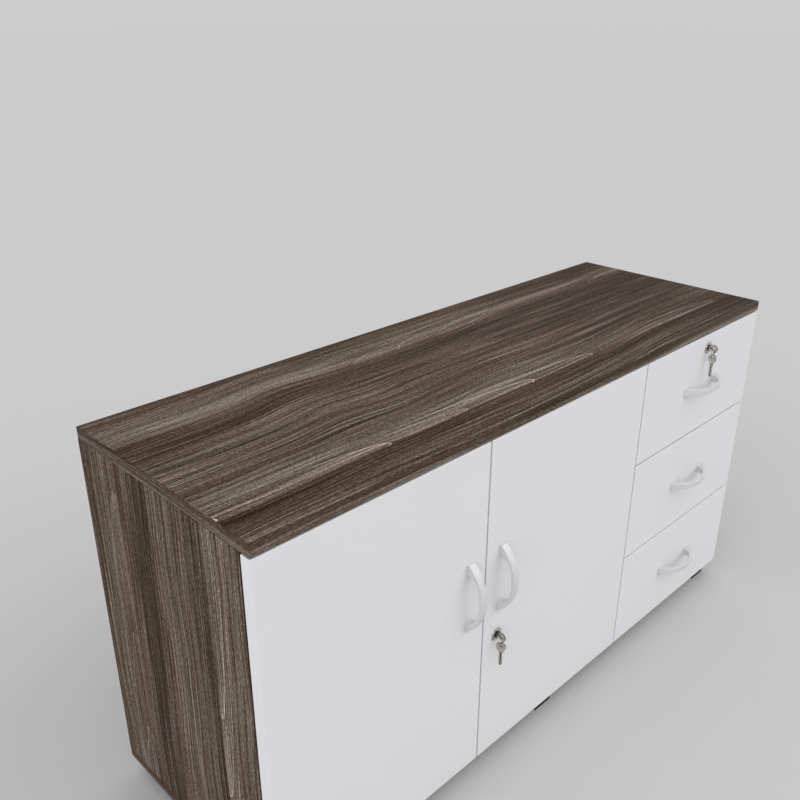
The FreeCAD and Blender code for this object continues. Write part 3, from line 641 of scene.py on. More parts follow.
# Connectors
# Die-cast cams let into the inner faces of the uprights, each turned with a cross-head driver, and
# the steel bolts in the boards above and below that they pull home.
CAM_RADIUS = 7.5 * MM
CAM_DEEP = 12.5 * MM
CAM_ARRIS = 0.4 * MM
CAM_CROSS = 5 * MM
CAM_CROSS_DEEP = 3 * MM
CAM_CROSS_TAPER = 0.8
connectors_low, connectors_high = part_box("connector_cams")
cam_recess = cross(TURN_COLUMNS, CAM_CROSS)
cam_disc = turned([
    (CAM_RADIUS, -CAM_DEEP), (CAM_RADIUS, -CAM_ARRIS), (CAM_RADIUS - CAM_ARRIS, 0),
    (cam_recess, 0), (cam_recess * CAM_CROSS_TAPER, -CAM_CROSS_DEEP),
])
cam_faces = (
    (connectors_low.x + CAM_DEEP, 1),
    (connectors_high.x - CAM_DEEP, -1),
    (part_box("divider_panel")[0].x, -1),
)
cam_grids = [
    placed(cam_disc, (x, y, z), (0, way, 0), Z_AXIS, (way, 0, 0))
    for x, way in cam_faces
    for y in (connectors_low.y + CAM_RADIUS, connectors_high.y - CAM_RADIUS)
    for z in (connectors_low.z + CAM_RADIUS, connectors_high.z - CAM_RADIUS)
]
cams = skinned("cross_cams", cam_grids, zinc)
fitted(cams, "carcass", "zinc_steel", "connector_cams")
dress("connector_bolts", zinc)

# Top board
# The same board, with the grain along it and flames near its front. It lies on the uprights, and
# the connectors pull it down on them.
TOP_JOINT = -124 * MM
TOP_ALONG = 0.061
TOP_ASIDE = 3.1
TOP_GLOSS = 0.045
top_shift = (TOP_ALONG, TOP_ASIDE, -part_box("top_panel")[1].z)
dress("top_panel", wood_material(
    "top_woodgrain", GRAIN_ALONG_X, top_shift, gloss=TOP_GLOSS, Level=0.56, Contrast=0.96,
    Lane=TOP_JOINT + TOP_ASIDE, Flame=1.0, Fade=0.2))

# Edge bands
# Strips of brown plastic glued round the edges of the top and the bottom board, with their corners
# rounded over. Thinner strips cover the front and rear edges of the side panels.
BAND = 2 * MM
BAND_ARRIS = 1.3 * MM
BAND_CORNER = 1.5 * MM
THIN_ARRIS = 0.4 * MM
BAND_ROUND = (math.radians(-90), math.radians(45), 0)
# Height share of the line between the band's painted shade above and its painted light below
BAND_SHADE_LINE = 0.4
BAND_ALONG = 0.4
BAND_RELIEF = 0.04 * MM
BAND_GLOSS = 0.12
BAND_STEPS = 5
BAND_CORNER_STEPS = 4
STRIP_ALONG = 0.9


def band_ring(low, high):
    """Band round a board: a strip with its two outer arrises rounded, carried round the board's edge."""
    low = np.array(low)
    high = np.array(high)
    half = (high - low) / 2
    rise = half[2] - BAND_ARRIS
    strip = np.concatenate([
        [(BAND_CORNER - BAND, -half[2])],
        arc((BAND_CORNER - BAND_ARRIS, -rise), BAND_ARRIS, -90, 0, BAND_STEPS),
        arc((BAND_CORNER - BAND_ARRIS, rise), BAND_ARRIS, 0, 90, BAND_STEPS),
        [(BAND_CORNER - BAND, half[2])],
    ])
    ring = carried(strip, half[:2] - BAND_CORNER, BAND_CORNER_STEPS)
    return (placed(ring, (low + high) / 2), "ring")


def slab(low, high, arris):
    """Flat plate with all its edges rounded: quarter rounds carried round the plate's face."""
    low = np.array(low)
    high = np.array(high)
    half = (high - low) / 2
    rise = half[2] - arris
    side = np.concatenate([
        [(0, -half[2])],
        arc((0, -rise), arris, -90, 0, ARRIS_STEPS),
        arc((0, rise), arris, 0, 90, ARRIS_STEPS),
        [(0, half[2])],
    ])
    return placed(carried(side, half[:2] - arris, ARRIS_STEPS), (low + high) / 2)


def band_material(name, low, high):
    """Band's woodgrain, split along a line by the table's jump between planks: above the line it is dark,
    painted shade of the band's rounded upper arris, and below it pale, painted light on its face.
    """
    shade_line = low + BAND_SHADE_LINE * (high - low)
    return wood_material(
        name, BAND_ROUND, (BAND_ALONG, 0, 0), relief=BAND_RELIEF, gloss=BAND_GLOSS,
        Edge=0.0, Level=0.58, Contrast=0.8, Lane=shade_line, Way=-1.0)


ring_low, ring_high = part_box("top_edge_bands")
top_plastic = band_material("top_band_woodgrain", ring_low.z, ring_high.z)
top_bands = skinned("top_bands", [band_ring(ring_low, ring_high)], top_plastic)
fitted(top_bands, "carcass", "edge_band", "top_edge_bands")

bands_low, bands_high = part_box("carcass_edge_bands")
bottom_low, bottom_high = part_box("bottom_panel")
side_low, side_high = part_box("left_side_panel")
bottom_ring = band_ring((bands_low.x, bands_low.y, bottom_low.z), (bands_high.x, bands_high.y, bottom_high.z))
bottom_plastic = band_material("bottom_band_woodgrain", bottom_low.z, bottom_high.z)
bottom_bands = skinned("bottom_bands", [bottom_ring], bottom_plastic)
side_thick = side_high.x - side_low.x
strips = [
    slab((x, near, side_low.z), (x + side_thick, far, side_high.z), THIN_ARRIS)
    for x in (bands_low.x, bands_high.x - side_thick)
    for near, far in ((bands_low.y, side_low.y), (side_high.y, bands_high.y))
]
strip_plastic = wood_material(
    "strip_woodgrain", GRAIN_UPRIGHT, (STRIP_ALONG, 0, 0), relief=BAND_RELIEF, Level=0.36, Contrast=0.4)
side_bands = skinned("side_bands", strips, strip_plastic)
for bands in (bottom_bands, side_bands):
    fitted(bands, "carcass", "edge_band", "carcass_edge_bands")

# Back panel
# A thin fibreboard printed with the same grain. It is pushed into grooves in the boards round it and
# keeps the cabinet square.
BACK_ALONG = 26.1
dress("back_panel", wood_material("back_woodgrain", GRAIN_UPRIGHT, (BACK_ALONG, 0, 0), Contrast=0.8))

# Shelf and its pins
# A loose board of the same make. It lies on four turned pins of zinc plated steel, each with a
# collar that stops it at the upright's face.
PIN_RADIUS = 2.5 * MM
PIN_COLLAR = 3.6 * MM
PIN_COLLAR_THICK = 0.7 * MM
PIN_REACH = 8 * MM
PIN_PLAY = 0.1 * MM
PIN_TIP = 0.8
PIN_SHOULDER = 0.9
PIN_DOME_END = 84
PIN_DOME_STEPS = 6
PIN_COLUMNS = 32
SHELF_ALONG = 13.9
dress("shelf", wood_material("shelf_woodgrain", GRAIN_ALONG_X, (SHELF_ALONG, 0, 0)))
pin_neck = PIN_RADIUS - PIN_PLAY
pin_dome = arc((0, PIN_REACH - PIN_RADIUS), PIN_RADIUS, 0, PIN_DOME_END, PIN_DOME_STEPS).tolist()
shelf_pin = turned([
    (PIN_TIP * pin_neck, -PIN_REACH), (pin_neck, -PIN_SHOULDER * PIN_REACH), (pin_neck, 0),
    (PIN_COLLAR, 0), (PIN_COLLAR, PIN_COLLAR_THICK), (PIN_RADIUS, PIN_COLLAR_THICK), *pin_dome,
], PIN_COLUMNS)
pins_low, pins_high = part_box("shelf_pins")
pin_grids = [
    placed(shelf_pin, (x, y, pins_high.z - PIN_RADIUS), (0, way, 0), Z_AXIS, (way, 0, 0))
    for x, way in ((pins_low.x + PIN_REACH, 1), (pins_high.x - PIN_REACH, -1))
    for y in (pins_low.y + PIN_RADIUS, pins_high.y - PIN_RADIUS)
]
pins = skinned("turned_pins", pin_grids, zinc)
fitted(pins, "carcass", "zinc_steel", "shelf_pins")

# Hinges
# Cup hinges of plated steel, two to a door: a pressed cup in the door, a bent arm that reaches into
# it and turns on a pin, and a plate with two wings that is screwed to the upright.
ARM_HALF = 5.5 * MM
ARM_THICK = 3 * MM
ARM_LEVEL = -11.8 * MM
ARM_BEND = 2 * MM
ARM_END = 60 * MM
LEG_NEAR = 21.2 * MM
LEG_FAR = 24.7 * MM
PIN_FROM_EDGE = 7 * MM
PIN_FROM_BACK = 11.5 * MM
HINGE_PIN = 1.2 * MM
KNUCKLE = 2 * MM
CUP_CENTRE = 21 * MM
CUP_EAR = 26 * MM
FLANGE = 1 * MM
PLATE_SPAN = (22 * MM, 56 * MM)
PLATE_HALF = 8 * MM
WING_SPAN = (31 * MM, 47 * MM)
WING_HALF = 24 * MM
WING_THICK = 3 * MM
PLATE_ARRIS = 0.5 * MM
ARM_SOFT = 0.6 * MM
ARM_BEND_STEPS = 6
EYE_PLAY = 0.05 * MM
EYE_DRAW = 0.1 * MM
EYE_BREAK = 0.2 * MM
EYE_COLUMNS = 32
PLATE_SCREW = {"head": 3.6 * MM, "rise": 1.5 * MM, "shank": 1.8 * MM, "length": 12 * MM}
TRIM_SCREW = {"head": 2.8 * MM, "rise": 1.1 * MM, "shank": 1.5 * MM, "length": 2 * MM}
TRIM_SCREW_DEPTHS = (34 * MM, 50 * MM)
WING_SCREW_LIFT = 18 * MM
CUP_SCREW_LIFT = 22 * MM
LEFT = (-1, 0, 0)


def swept(path, half_wide, half_thick, soft):
    """Strip of metal bent along a path in a plane: rows along the path, columns round its section.

    The section is a rectangle with round corners. Its thickness follows the path's normal, which is
    the path's direction turned by a quarter, and its width is the third coordinate.
    """
    path = np.asarray(path, float)
    step = np.gradient(path, axis=0)
    step /= np.linalg.norm(step, axis=1, keepdims=True)
    normal = np.stack([-step[:, 1], step[:, 0]], axis=-1)
    section = carried([(soft, 0)], (half_thick - soft, half_wide - soft), ARRIS_STEPS)[0]
    flat = path[:, None, :] + normal[:, None, :] * section[None, :, :1]
    wide = np.broadcast_to(section[None, :, 1:2], (*flat.shape[:2], 1))
    return np.concatenate([flat, wide], axis=-1)


door_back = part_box("left_door_panel")[1].y
leg_middle = (LEG_NEAR + LEG_FAR) / 2
arm_path = np.concatenate([
    [(PIN_FROM_EDGE, ARM_LEVEL), (leg_middle - 2 * ARM_BEND, ARM_LEVEL)],
    arc((leg_middle - ARM_BEND, ARM_LEVEL + ARM_BEND), ARM_BEND, -90, 0, ARM_BEND_STEPS),
    [(leg_middle, ARM_LEVEL + 2 * ARM_BEND), (leg_middle, ARM_END)],
])
arm = swept(arm_path, ARM_HALF, ARM_THICK / 2, ARM_SOFT)
eye_bore = HINGE_PIN + EYE_PLAY
eye = turned([
    (eye_bore, -ARM_HALF), (KNUCKLE - EYE_DRAW, -ARM_HALF), (KNUCKLE, EYE_BREAK - ARM_HALF),
    (KNUCKLE, ARM_HALF - EYE_BREAK), (KNUCKLE - EYE_DRAW, ARM_HALF), (eye_bore, ARM_HALF),
], EYE_COLUMNS)
plate_screw = screw(**PLATE_SCREW)
trim_screw = screw(**TRIM_SCREW)
arms = []
plates = []
fixings = []
door_edges = {
    "left": (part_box("left_door_panel")[0].x, 1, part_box("left_side_panel")[1].x),
    "right": (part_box("right_door_panel")[1].x, -1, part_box("divider_panel")[0].x),
}
for side, (edge, way, wall) in door_edges.items():
    cups_low, cups_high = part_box(f"{side}_hinge_cups")
    inwards = (way, 0, 0)
    wall_step = abs(wall - edge)
    cup_screws = []
    for height in (cups_low.z + CUP_EAR, cups_high.z - CUP_EAR):
        at_edge = (edge, door_back, height)
        arms.append(placed(arm, at_edge, inwards, Y_AXIS, Z_AXIS))
        pin_place = (edge + way * PIN_FROM_EDGE, door_back - PIN_FROM_BACK, height)
        arms.append((placed(eye, pin_place), "ring"))
        for far, span, half in ((LEG_NEAR, PLATE_SPAN, PLATE_HALF),
                                (wall_step + WING_THICK, WING_SPAN, WING_HALF)):
            corners = np.array([(wall_step, span[0], -half), (far, span[1], half)])
            ends = np.array(at_edge) + corners * (way, 1, 1)
            plates.append(slab(ends.min(0), ends.max(0), PLATE_ARRIS))
        wing_middle = sum(WING_SPAN) / 2
        for lift in (-WING_SCREW_LIFT, WING_SCREW_LIFT):
            seat = (edge + way * (wall_step + WING_THICK), door_back + wing_middle, height + lift)
            fixings.append(placed(plate_screw, seat, (0, way, 0), Z_AXIS, inwards))
        for deep in TRIM_SCREW_DEPTHS:
            seat = (edge + way * (leg_middle + ARM_THICK / 2), door_back + deep, height)
            fixings.append(placed(trim_screw, seat, (0, way, 0), Z_AXIS, inwards))
        for lift in (-CUP_SCREW_LIFT, CUP_SCREW_LIFT):
            seat = (edge + way * CUP_CENTRE, door_back + FLANGE, height + lift)
            cup_screws.append(placed(plate_screw, seat, LEFT, Z_AXIS, Y_AXIS))
    door_screws = skinned(f"{side}_cup_screws", cup_screws, zinc)
    fitted(door_screws, f"{side}_door", "zinc_steel")
    dress(f"{side}_hinge_cups", zinc)
    dress(f"{side}_hinge_pins", zinc)
hinge_arms = skinned("bent_arms", arms, zinc)
fitted(hinge_arms, "carcass", "zinc_steel", "hinge_arms")
hinge_plates = skinned("wing_plates", plates, zinc)
fitted(hinge_plates, "carcass", "zinc_steel", "hinge_plates")
hinge_screws = skinned("hinge_screws", fixings, zinc)
fitted(hinge_screws, "carcass", "zinc_steel")

# Doors and drawer fronts
# White boards of the same make, with a satin face and softly rounded edges. The doors hang on the
# hinges, and the screws of its handle hold each drawer's front to its box.
WHITE = (222, 222, 224)
white = fine_material(
    "white_front", WHITE, mottle=0.03, patch=7, grain=1500, level=0.46, swing=0.06, relief=0.00002,
    Specular_IOR_Level=0.3,
)
for name in ("left_door_panel", "right_door_panel", "drawer_1_front", "drawer_2_front", "drawer_3_front"):
    dress(name, white)

# Handles
# Cast bows with a satin silver finish, thick at their feet. Two screws from behind hold each one,
# on the drawers through the front wall of the box as well.
BOW_RADIUS = 79 * MM
GRIP_FULLNESS = 2.3
BOW_FOOT = 17.4 * MM
BOW_STRAP = 6 * MM
BOW_WAIST = 11 * MM
BOW_SOFT = 1.0 * MM
BOW_INNER_SOFT = 0.7 * MM
BOW_FOOT_SOFT = 0.3 * MM
BOW_ROWS = 72
BOW_STEPS = 5
BOW_SOFT_LIMIT = 2.2
BOW_CREASE = 40
SEAT_ROWS = (1, 0.999, 0.995, 0.985, 0.97)
HANDLE_SCREW = {"head": 3.8 * MM, "rise": 2.2 * MM, "shank": 2 * MM, "length": 6 * MM}
HANDLE_SCREW_INSET = 9 * MM
BOX_WALL = 12 * MM
SILVER = (209, 210, 212)


def bow(length, reach, width):
    """Crescent handle, with rows along it and columns round its section.

    Along the handle, the outer face is reach less the rise of an arc, and the inner face is a full
    oval that stands on the door between the feet and leaves the strap in the middle. The width grows
    with the square of the distance from the middle. The section is a rectangle with round corners.
    """
    half = length / 2
    along = half * np.sin(np.linspace(-np.pi / 2, np.pi / 2, BOW_ROWS))
    seat = half - BOW_FOOT
    wall = seat * np.array(SEAT_ROWS)
    along = np.sort(np.concatenate([along, wall, -wall]))[:, None]
    high = reach - BOW_RADIUS + np.sqrt(BOW_RADIUS ** 2 - along ** 2)
    share = np.minimum(np.abs(along) / seat, 1)
    low = (reach - BOW_STRAP) * (1 - share ** GRIP_FULLNESS) ** (1 / GRIP_FULLNESS)
    wide = (BOW_WAIST + (width - BOW_WAIST) * (along / half) ** 2) / 2
    ending = np.clip((half - np.abs(along)) / BOW_SOFT, 0, 1)
    pulled = BOW_SOFT * (1 - np.sqrt(1 - (1 - ending) ** 2))
    high = high - pulled
    wide = wide - pulled
    angle = ((np.arange(4)[:, None] + np.linspace(0, 1, BOW_STEPS + 1)) * np.pi / 2).ravel()
    side = np.repeat((1, -1, -1, 1), BOW_STEPS + 1)
    upper = np.repeat((True, True, False, False), BOW_STEPS + 1)
    soft = np.where(upper, BOW_SOFT, np.where(low > 0, BOW_INNER_SOFT, BOW_FOOT_SOFT))
    soft = np.minimum(soft, (high - low) / BOW_SOFT_LIMIT)
    across = side * (wide - soft) + soft * np.cos(angle)
    out = np.where(upper, high - soft, low + soft) + soft * np.sin(angle)
    return np.stack([across, np.broadcast_to(along, across.shape), out], axis=-1)


silver = fine_material(
    "satin_silver", SILVER, mottle=0.06, patch=40, grain=2400, level=0.4, swing=0.12, relief=0.00002,
    Metallic=0.15,
)
handle_screw = screw(**HANDLE_SCREW)
handles = {
    "left_door": 0.0,
    "right_door": 0.0,
    "drawer_1": BOX_WALL,
    "drawer_2": BOX_WALL,
    "drawer_3": BOX_WALL,
}
for body, wall in handles.items():
    low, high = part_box(f"{body}_handle")
    size = high - low
    middle = (low + high) / 2
    upright = size.z > size.x
    length, width = (size.z, size.x) if upright else (size.x, size.z)
    across, along = (X_AXIS, Z_AXIS) if upright else (Z_AXIS, X_AXIS)
    shape = placed(bow(length, size.y, width), (middle.x, high.y, middle.z), across, along, FORWARD)
    handle = skinned(f"{body}_bow", [shape], silver, crease=BOW_CREASE)
    fitted(handle, body, "handle_metal", f"{body}_handle")
    shift = np.array(along) * (length / 2 - HANDLE_SCREW_INSET)
    inner = np.array((middle.x, door_back + wall, middle.z))
    pair = [placed(handle_screw, inner + way * shift, LEFT, Z_AXIS, Y_AXIS) for way in (-1, 1)]
    handle_screws = skinned(f"{body}_handle_screws", pair, zinc)
    fitted(handle_screws, body, "zinc_steel")

# Slide bolt
# A steel bolt in a cast case on the back of the left door, pushed up by a turned knob into a hole in
# the top. A flange under the case takes four screws.
BOLT_RADIUS = 3.5 * MM
BOLT_DOME = 1.5 * MM
BOLT_DOME_ANGLES = (25, 50, 75)
BOLT_CHAMFER = 0.4 * MM
KNOB_DEEP = 23 * MM
KNOB_RISE = 7 * MM
KNOB_STEM = 2.3 * MM
KNOB_RADIUS = 3.6 * MM
KNOB_NECK = 0.55
KNOB_SHOULDER = 0.65
KNOB_CROWN = 0.9
KNOB_CHAMFER = 0.6 * MM
FLANGE_MARGIN = 6 * MM
FLANGE_THICK = 1.2 * MM
FLANGE_ARRIS = 0.4 * MM
FLANGE_SCREW = {"head": 2.3 * MM, "rise": 1.1 * MM, "shank": 1.4 * MM, "length": 8 * MM}
front_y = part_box("left_door_panel")[0].y
bolt_low, bolt_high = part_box("left_bolt")
case_low, case_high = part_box("left_bolt_case")
bolt_x = (bolt_low.x + bolt_high.x) / 2
bolt_length = bolt_high.z - bolt_low.z
bolt_dome = [
    (BOLT_RADIUS * math.cos(turn), bolt_length - BOLT_DOME * (1 - math.sin(turn)))
    for turn in np.radians(BOLT_DOME_ANGLES)
]
bolt_rod = turned([
    (BOLT_RADIUS - BOLT_CHAMFER, 0), (BOLT_RADIUS, BOLT_CHAMFER), (BOLT_RADIUS, bolt_length - BOLT_DOME),
    *bolt_dome,
])
knob_length = bolt_high.y - front_y - KNOB_DEEP
knob = turned([
    (KNOB_STEM, 0), (KNOB_STEM, KNOB_NECK * knob_length), (KNOB_RADIUS, KNOB_SHOULDER * knob_length),
    (KNOB_RADIUS, KNOB_CROWN * knob_length), (KNOB_RADIUS - KNOB_CHAMFER, knob_length),
])
bolt_middle = (bolt_x, front_y + KNOB_DEEP, bolt_low.z)
knob_place = (bolt_x, front_y + KNOB_DEEP, bolt_low.z + KNOB_RISE)
bolt_grids = [placed(bolt_rod, bolt_middle), placed(knob, knob_place, LEFT, Z_AXIS, Y_AXIS)]
slide_bolt = skinned("turned_bolt", bolt_grids, zinc)
fitted(slide_bolt, "left_slide_bolt", "zinc_steel", "left_bolt")
dress("left_bolt_case", zinc)
flange_low = (case_low.x - FLANGE_MARGIN, door_back, case_low.z)
flange_high = (case_high.x + FLANGE_MARGIN, door_back + FLANGE_THICK, case_high.z)
flange_screw = screw(**FLANGE_SCREW)
flange_grids = [slab(flange_low, flange_high, FLANGE_ARRIS)]
for x in (case_low.x - FLANGE_MARGIN / 2, case_high.x + FLANGE_MARGIN / 2):
    for z in (case_low.z + FLANGE_MARGIN, case_high.z - FLANGE_MARGIN):
        seat = (x, door_back + FLANGE_THICK, z)
        flange_grids.append(placed(flange_screw, seat, LEFT, Z_AXIS, Y_AXIS))
bolt_flange = skinned("bolt_flange", flange_grids, zinc)
fitted(bolt_flange, "left_door", "zinc_steel")

# Drawer boxes
# Thin boards with a pale printed face, joined at the corners, round a bottom that slides into
# grooves. Each box hangs between two runners.
BOX_GREY = (202, 202, 203)
box_board = fine_material(
    "drawer_board", BOX_GREY, mottle=0.05, patch=30, grain=1200, level=0.55, swing=0.06, relief=0.00003
)
for number in (1, 2, 3):
    dress(f"drawer_{number}_box", box_board)
    dress(f"drawer_{number}_bottom", box_board)

# Runners
# Three channels of rolled zinc plated steel on each side of a drawer, one inside the other. The
# outer one is fixed to the cabinet, and the inner one is screwed to the box.
SHEET = 1.2 * MM
SHEET_SOFT = SHEET / 2.5
ROLL = 1.6 * MM
ROLL_STEPS = 4
RUNNER_SPACE = 12.7 * MM
# Web and lip of each channel, from the wall, and half its height
MEMBERS = {
    "outer": (0.0, 9.5 * MM, 22.5 * MM),
    "middle": (3 * MM, 10.6 * MM, 18.5 * MM),
    "inner": (RUNNER_SPACE, 6 * MM, 13 * MM),
}
BOX_SCREW = {"head": 3.2 * MM, "rise": 1.6 * MM, "shank": 1.8 * MM, "length": 9 * MM}
BOX_SCREW_SHARES = (-0.4, 0.0, 0.4)


def channel(member, length):
    """Rolled channel: sheet carried along a lip, a bend, the web, a bend and a lip."""
    web, lip, half = MEMBERS[member]
    way = 1 if lip > web else -1
    level = half - SHEET / 2
    web = web + way * SHEET / 2
    upper = arc((0, level - ROLL), ROLL, 90, 180, ROLL_STEPS) * (way, 1) + (web + way * ROLL, 0)
    path = np.concatenate([[(lip, level)], upper, upper[::-1] * (1, -1), [(lip, -level)]])
    return swept(path, length / 2, SHEET / 2, SHEET_SOFT)


box_screw = screw(**BOX_SCREW)
outer_low, outer_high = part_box("cabinet_runners")
runner_length = outer_high.y - outer_low.y
runner_middle = (outer_low.y + outer_high.y) / 2
walls = ((outer_low.x, 1), (outer_high.x, -1))
runner_heights = []
for number in (1, 2, 3):
    inner_low, inner_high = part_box(f"drawer_{number}_inner_runners")
    height = (inner_low.z + inner_high.z) / 2
    runner_heights.append(height)
    places = [((wall, runner_middle, height), (way, 0, 0)) for wall, way in walls]
    inner_grids = [placed(channel("inner", runner_length), at, to, Z_AXIS, Y_AXIS) for at, to in places]
    middle_grids = [placed(channel("middle", runner_length), at, to, Z_AXIS, Y_AXIS) for at, to in places]
    for wall, way in walls:
        for share in BOX_SCREW_SHARES:
            seat = (wall + way * (RUNNER_SPACE - SHEET), runner_middle + share * runner_length, height)
            inner_grids.append(placed(box_screw, seat, (0, -way, 0), Z_AXIS, (-way, 0, 0)))
    inner_runners = skinned(f"drawer_{number}_rolled_inner", inner_grids, zinc)
    fitted(inner_runners, f"drawer_{number}", "zinc_steel", f"drawer_{number}_inner_runners")
    middle_runners = skinned(f"drawer_{number}_rolled_middle", middle_grids, zinc)
    fitted(middle_runners, f"drawer_{number}_slides", "zinc_steel", f"drawer_{number}_middle_runners")
outer_grids = [
    placed(channel("outer", runner_length), (wall, runner_middle, height), (way, 0, 0), Z_AXIS, Y_AXIS)
    for height in runner_heights
    for wall, way in walls
]
outer_runners = skinned("rolled_outer", outer_grids, zinc)
fitted(outer_runners, "carcass", "zinc_steel", "cabinet_runners")

# Locks
# Cam locks of nickel plated brass. A threaded barrel with a domed rose goes through the front and is
# held by a nut, and the black plug inside it turns a steel cam that is bolted to its end.
ROSE_RADIUS = 11.5 * MM
ROSE_RISE = 2 * MM
ROSE_DRAW = 0.1 * MM
ROSE_BREAK = 0.3 * MM
ROSE_ROUND = 1.2 * MM
ROSE_ROUND_LIFT = 0.5 * MM
ROSE_ROUND_END = 70
ROSE_STEPS = 5
CASE_RADIUS = 8 * MM
CASE_LENGTH = 24.5 * MM
CASE_PITCH = 1.2 * MM
CASE_BITE = 0.5 * MM
CASE_PITCH_ROWS = 6
CASE_PLAIN = (1 * MM, 0.5 * MM)
BORE_PLAY = 0.15 * MM
BORE_LIP = ((1.6 * MM, 0.0), (0.5 * MM, 0.1 * MM), (0.0, 0.6 * MM))
LOCK_CHAMFER = 0.4 * MM
PLUG_RADIUS = 5.45 * MM
PLUG_FRONT = 2.6 * MM
KEYWAY_HALF = 0.95 * MM
KEYWAY_DEEP = 17 * MM
KEYWAY_END = 75
KEYWAY_EDGE = 0.25 * MM
NUT_RADIUS = 11 * MM
NUT_THICK = 3 * MM
NUT_FACE = 0.93
LOCK_CAM_START = 25 * MM
LOCK_CAM_THICK = 2 * MM
LOCK_CAM_HALF = 7 * MM
LOCK_CAM_STEPS = 8
BOLT_HEAD = 4.6 * MM
BOLT_HEAD_RISE = 3 * MM
BOLT_HEAD_FACE = 0.92
BOLT_HEAD_INNER = 0.5
BOLT_HEAD_CHAMFER = 0.3 * MM
NICKEL = (190, 189, 187)
PLUG_BLACK = (20, 19, 19)


def hexagon(corner):
    """Reach of a hexagon: the distance of its flats over the cosine of the angle off the nearest one."""
    half = np.pi / 6
    fold = (spokes(TURN_COLUMNS) + half) % (2 * half) - half
    return corner * np.cos(half) / np.cos(fold)


def keyway():
    """Reach of an upright slot: the nearer of its flank and its end, which meet at an angle off the flat."""
    angle = spokes(TURN_COLUMNS)
    end = KEYWAY_HALF * math.tan(math.radians(KEYWAY_END))
    flank_reach = KEYWAY_HALF / np.maximum(np.abs(np.cos(angle)), LEAST)
    end_reach = end / np.maximum(np.abs(np.sin(angle)), LEAST)
    return np.minimum(flank_reach, end_reach)


nickel = fine_material(
    "lock_chrome", NICKEL, mottle=1.8, patch=150, grain=1800, level=0.2, swing=0.2, relief=0.00002,
    Metallic=0.85,
)
plug_black = fine_material(
    "plug_black", PLUG_BLACK, mottle=0.4, patch=300, grain=2600, level=0.4, swing=0.2, relief=0.00003,
    Specular_IOR_Level=0.2,
)
case_root = CASE_RADIUS - CASE_BITE
case_rows = np.arange(CASE_PLAIN[0] - CASE_LENGTH, -CASE_PLAIN[1], CASE_PITCH / CASE_PITCH_ROWS)
bore = PLUG_RADIUS + BORE_PLAY
rose_round = (ROSE_RADIUS - ROSE_ROUND, ROSE_ROUND_LIFT)
barrel = turned([
    (bore, -CASE_LENGTH), (case_root - LOCK_CHAMFER, -CASE_LENGTH),
    *thread(CASE_RADIUS, CASE_BITE, case_rows, CASE_PITCH, TURN_COLUMNS),
    (case_root, 0), (ROSE_RADIUS - ROSE_DRAW, 0), (ROSE_RADIUS, ROSE_BREAK),
    *arc(rose_round, ROSE_ROUND, 0, ROSE_ROUND_END, ROSE_STEPS),
    *[(bore + aside, ROSE_RISE - drop) for aside, drop in BORE_LIP],
])
slot = keyway()
plug = turned([
    (PLUG_RADIUS, -LOCK_CAM_START), (PLUG_RADIUS, PLUG_FRONT - LOCK_CHAMFER),
    (PLUG_RADIUS - LOCK_CHAMFER, PLUG_FRONT), (slot + KEYWAY_EDGE, PLUG_FRONT),
    (slot, PLUG_FRONT - KEYWAY_EDGE), (slot, -KEYWAY_DEEP),
])
nut_outline = hexagon(NUT_RADIUS)
nut_face = np.minimum(nut_outline, NUT_FACE * NUT_RADIUS)
nut = turned([
    (case_root, 0), (nut_face, 0), (nut_outline, LOCK_CHAMFER),
    (nut_outline, NUT_THICK - LOCK_CHAMFER), (nut_face, NUT_THICK), (case_root, NUT_THICK),
])
head_outline = hexagon(BOLT_HEAD)
head_face = np.minimum(head_outline, BOLT_HEAD_FACE * BOLT_HEAD)
bolt_head = turned([
    (head_outline, 0), (head_outline, BOLT_HEAD_RISE - BOLT_HEAD_CHAMFER),
    (head_face, BOLT_HEAD_RISE), (BOLT_HEAD_INNER * BOLT_HEAD, BOLT_HEAD_RISE),
])
locks = {"door": "right_door", "drawer": "drawer_1"}
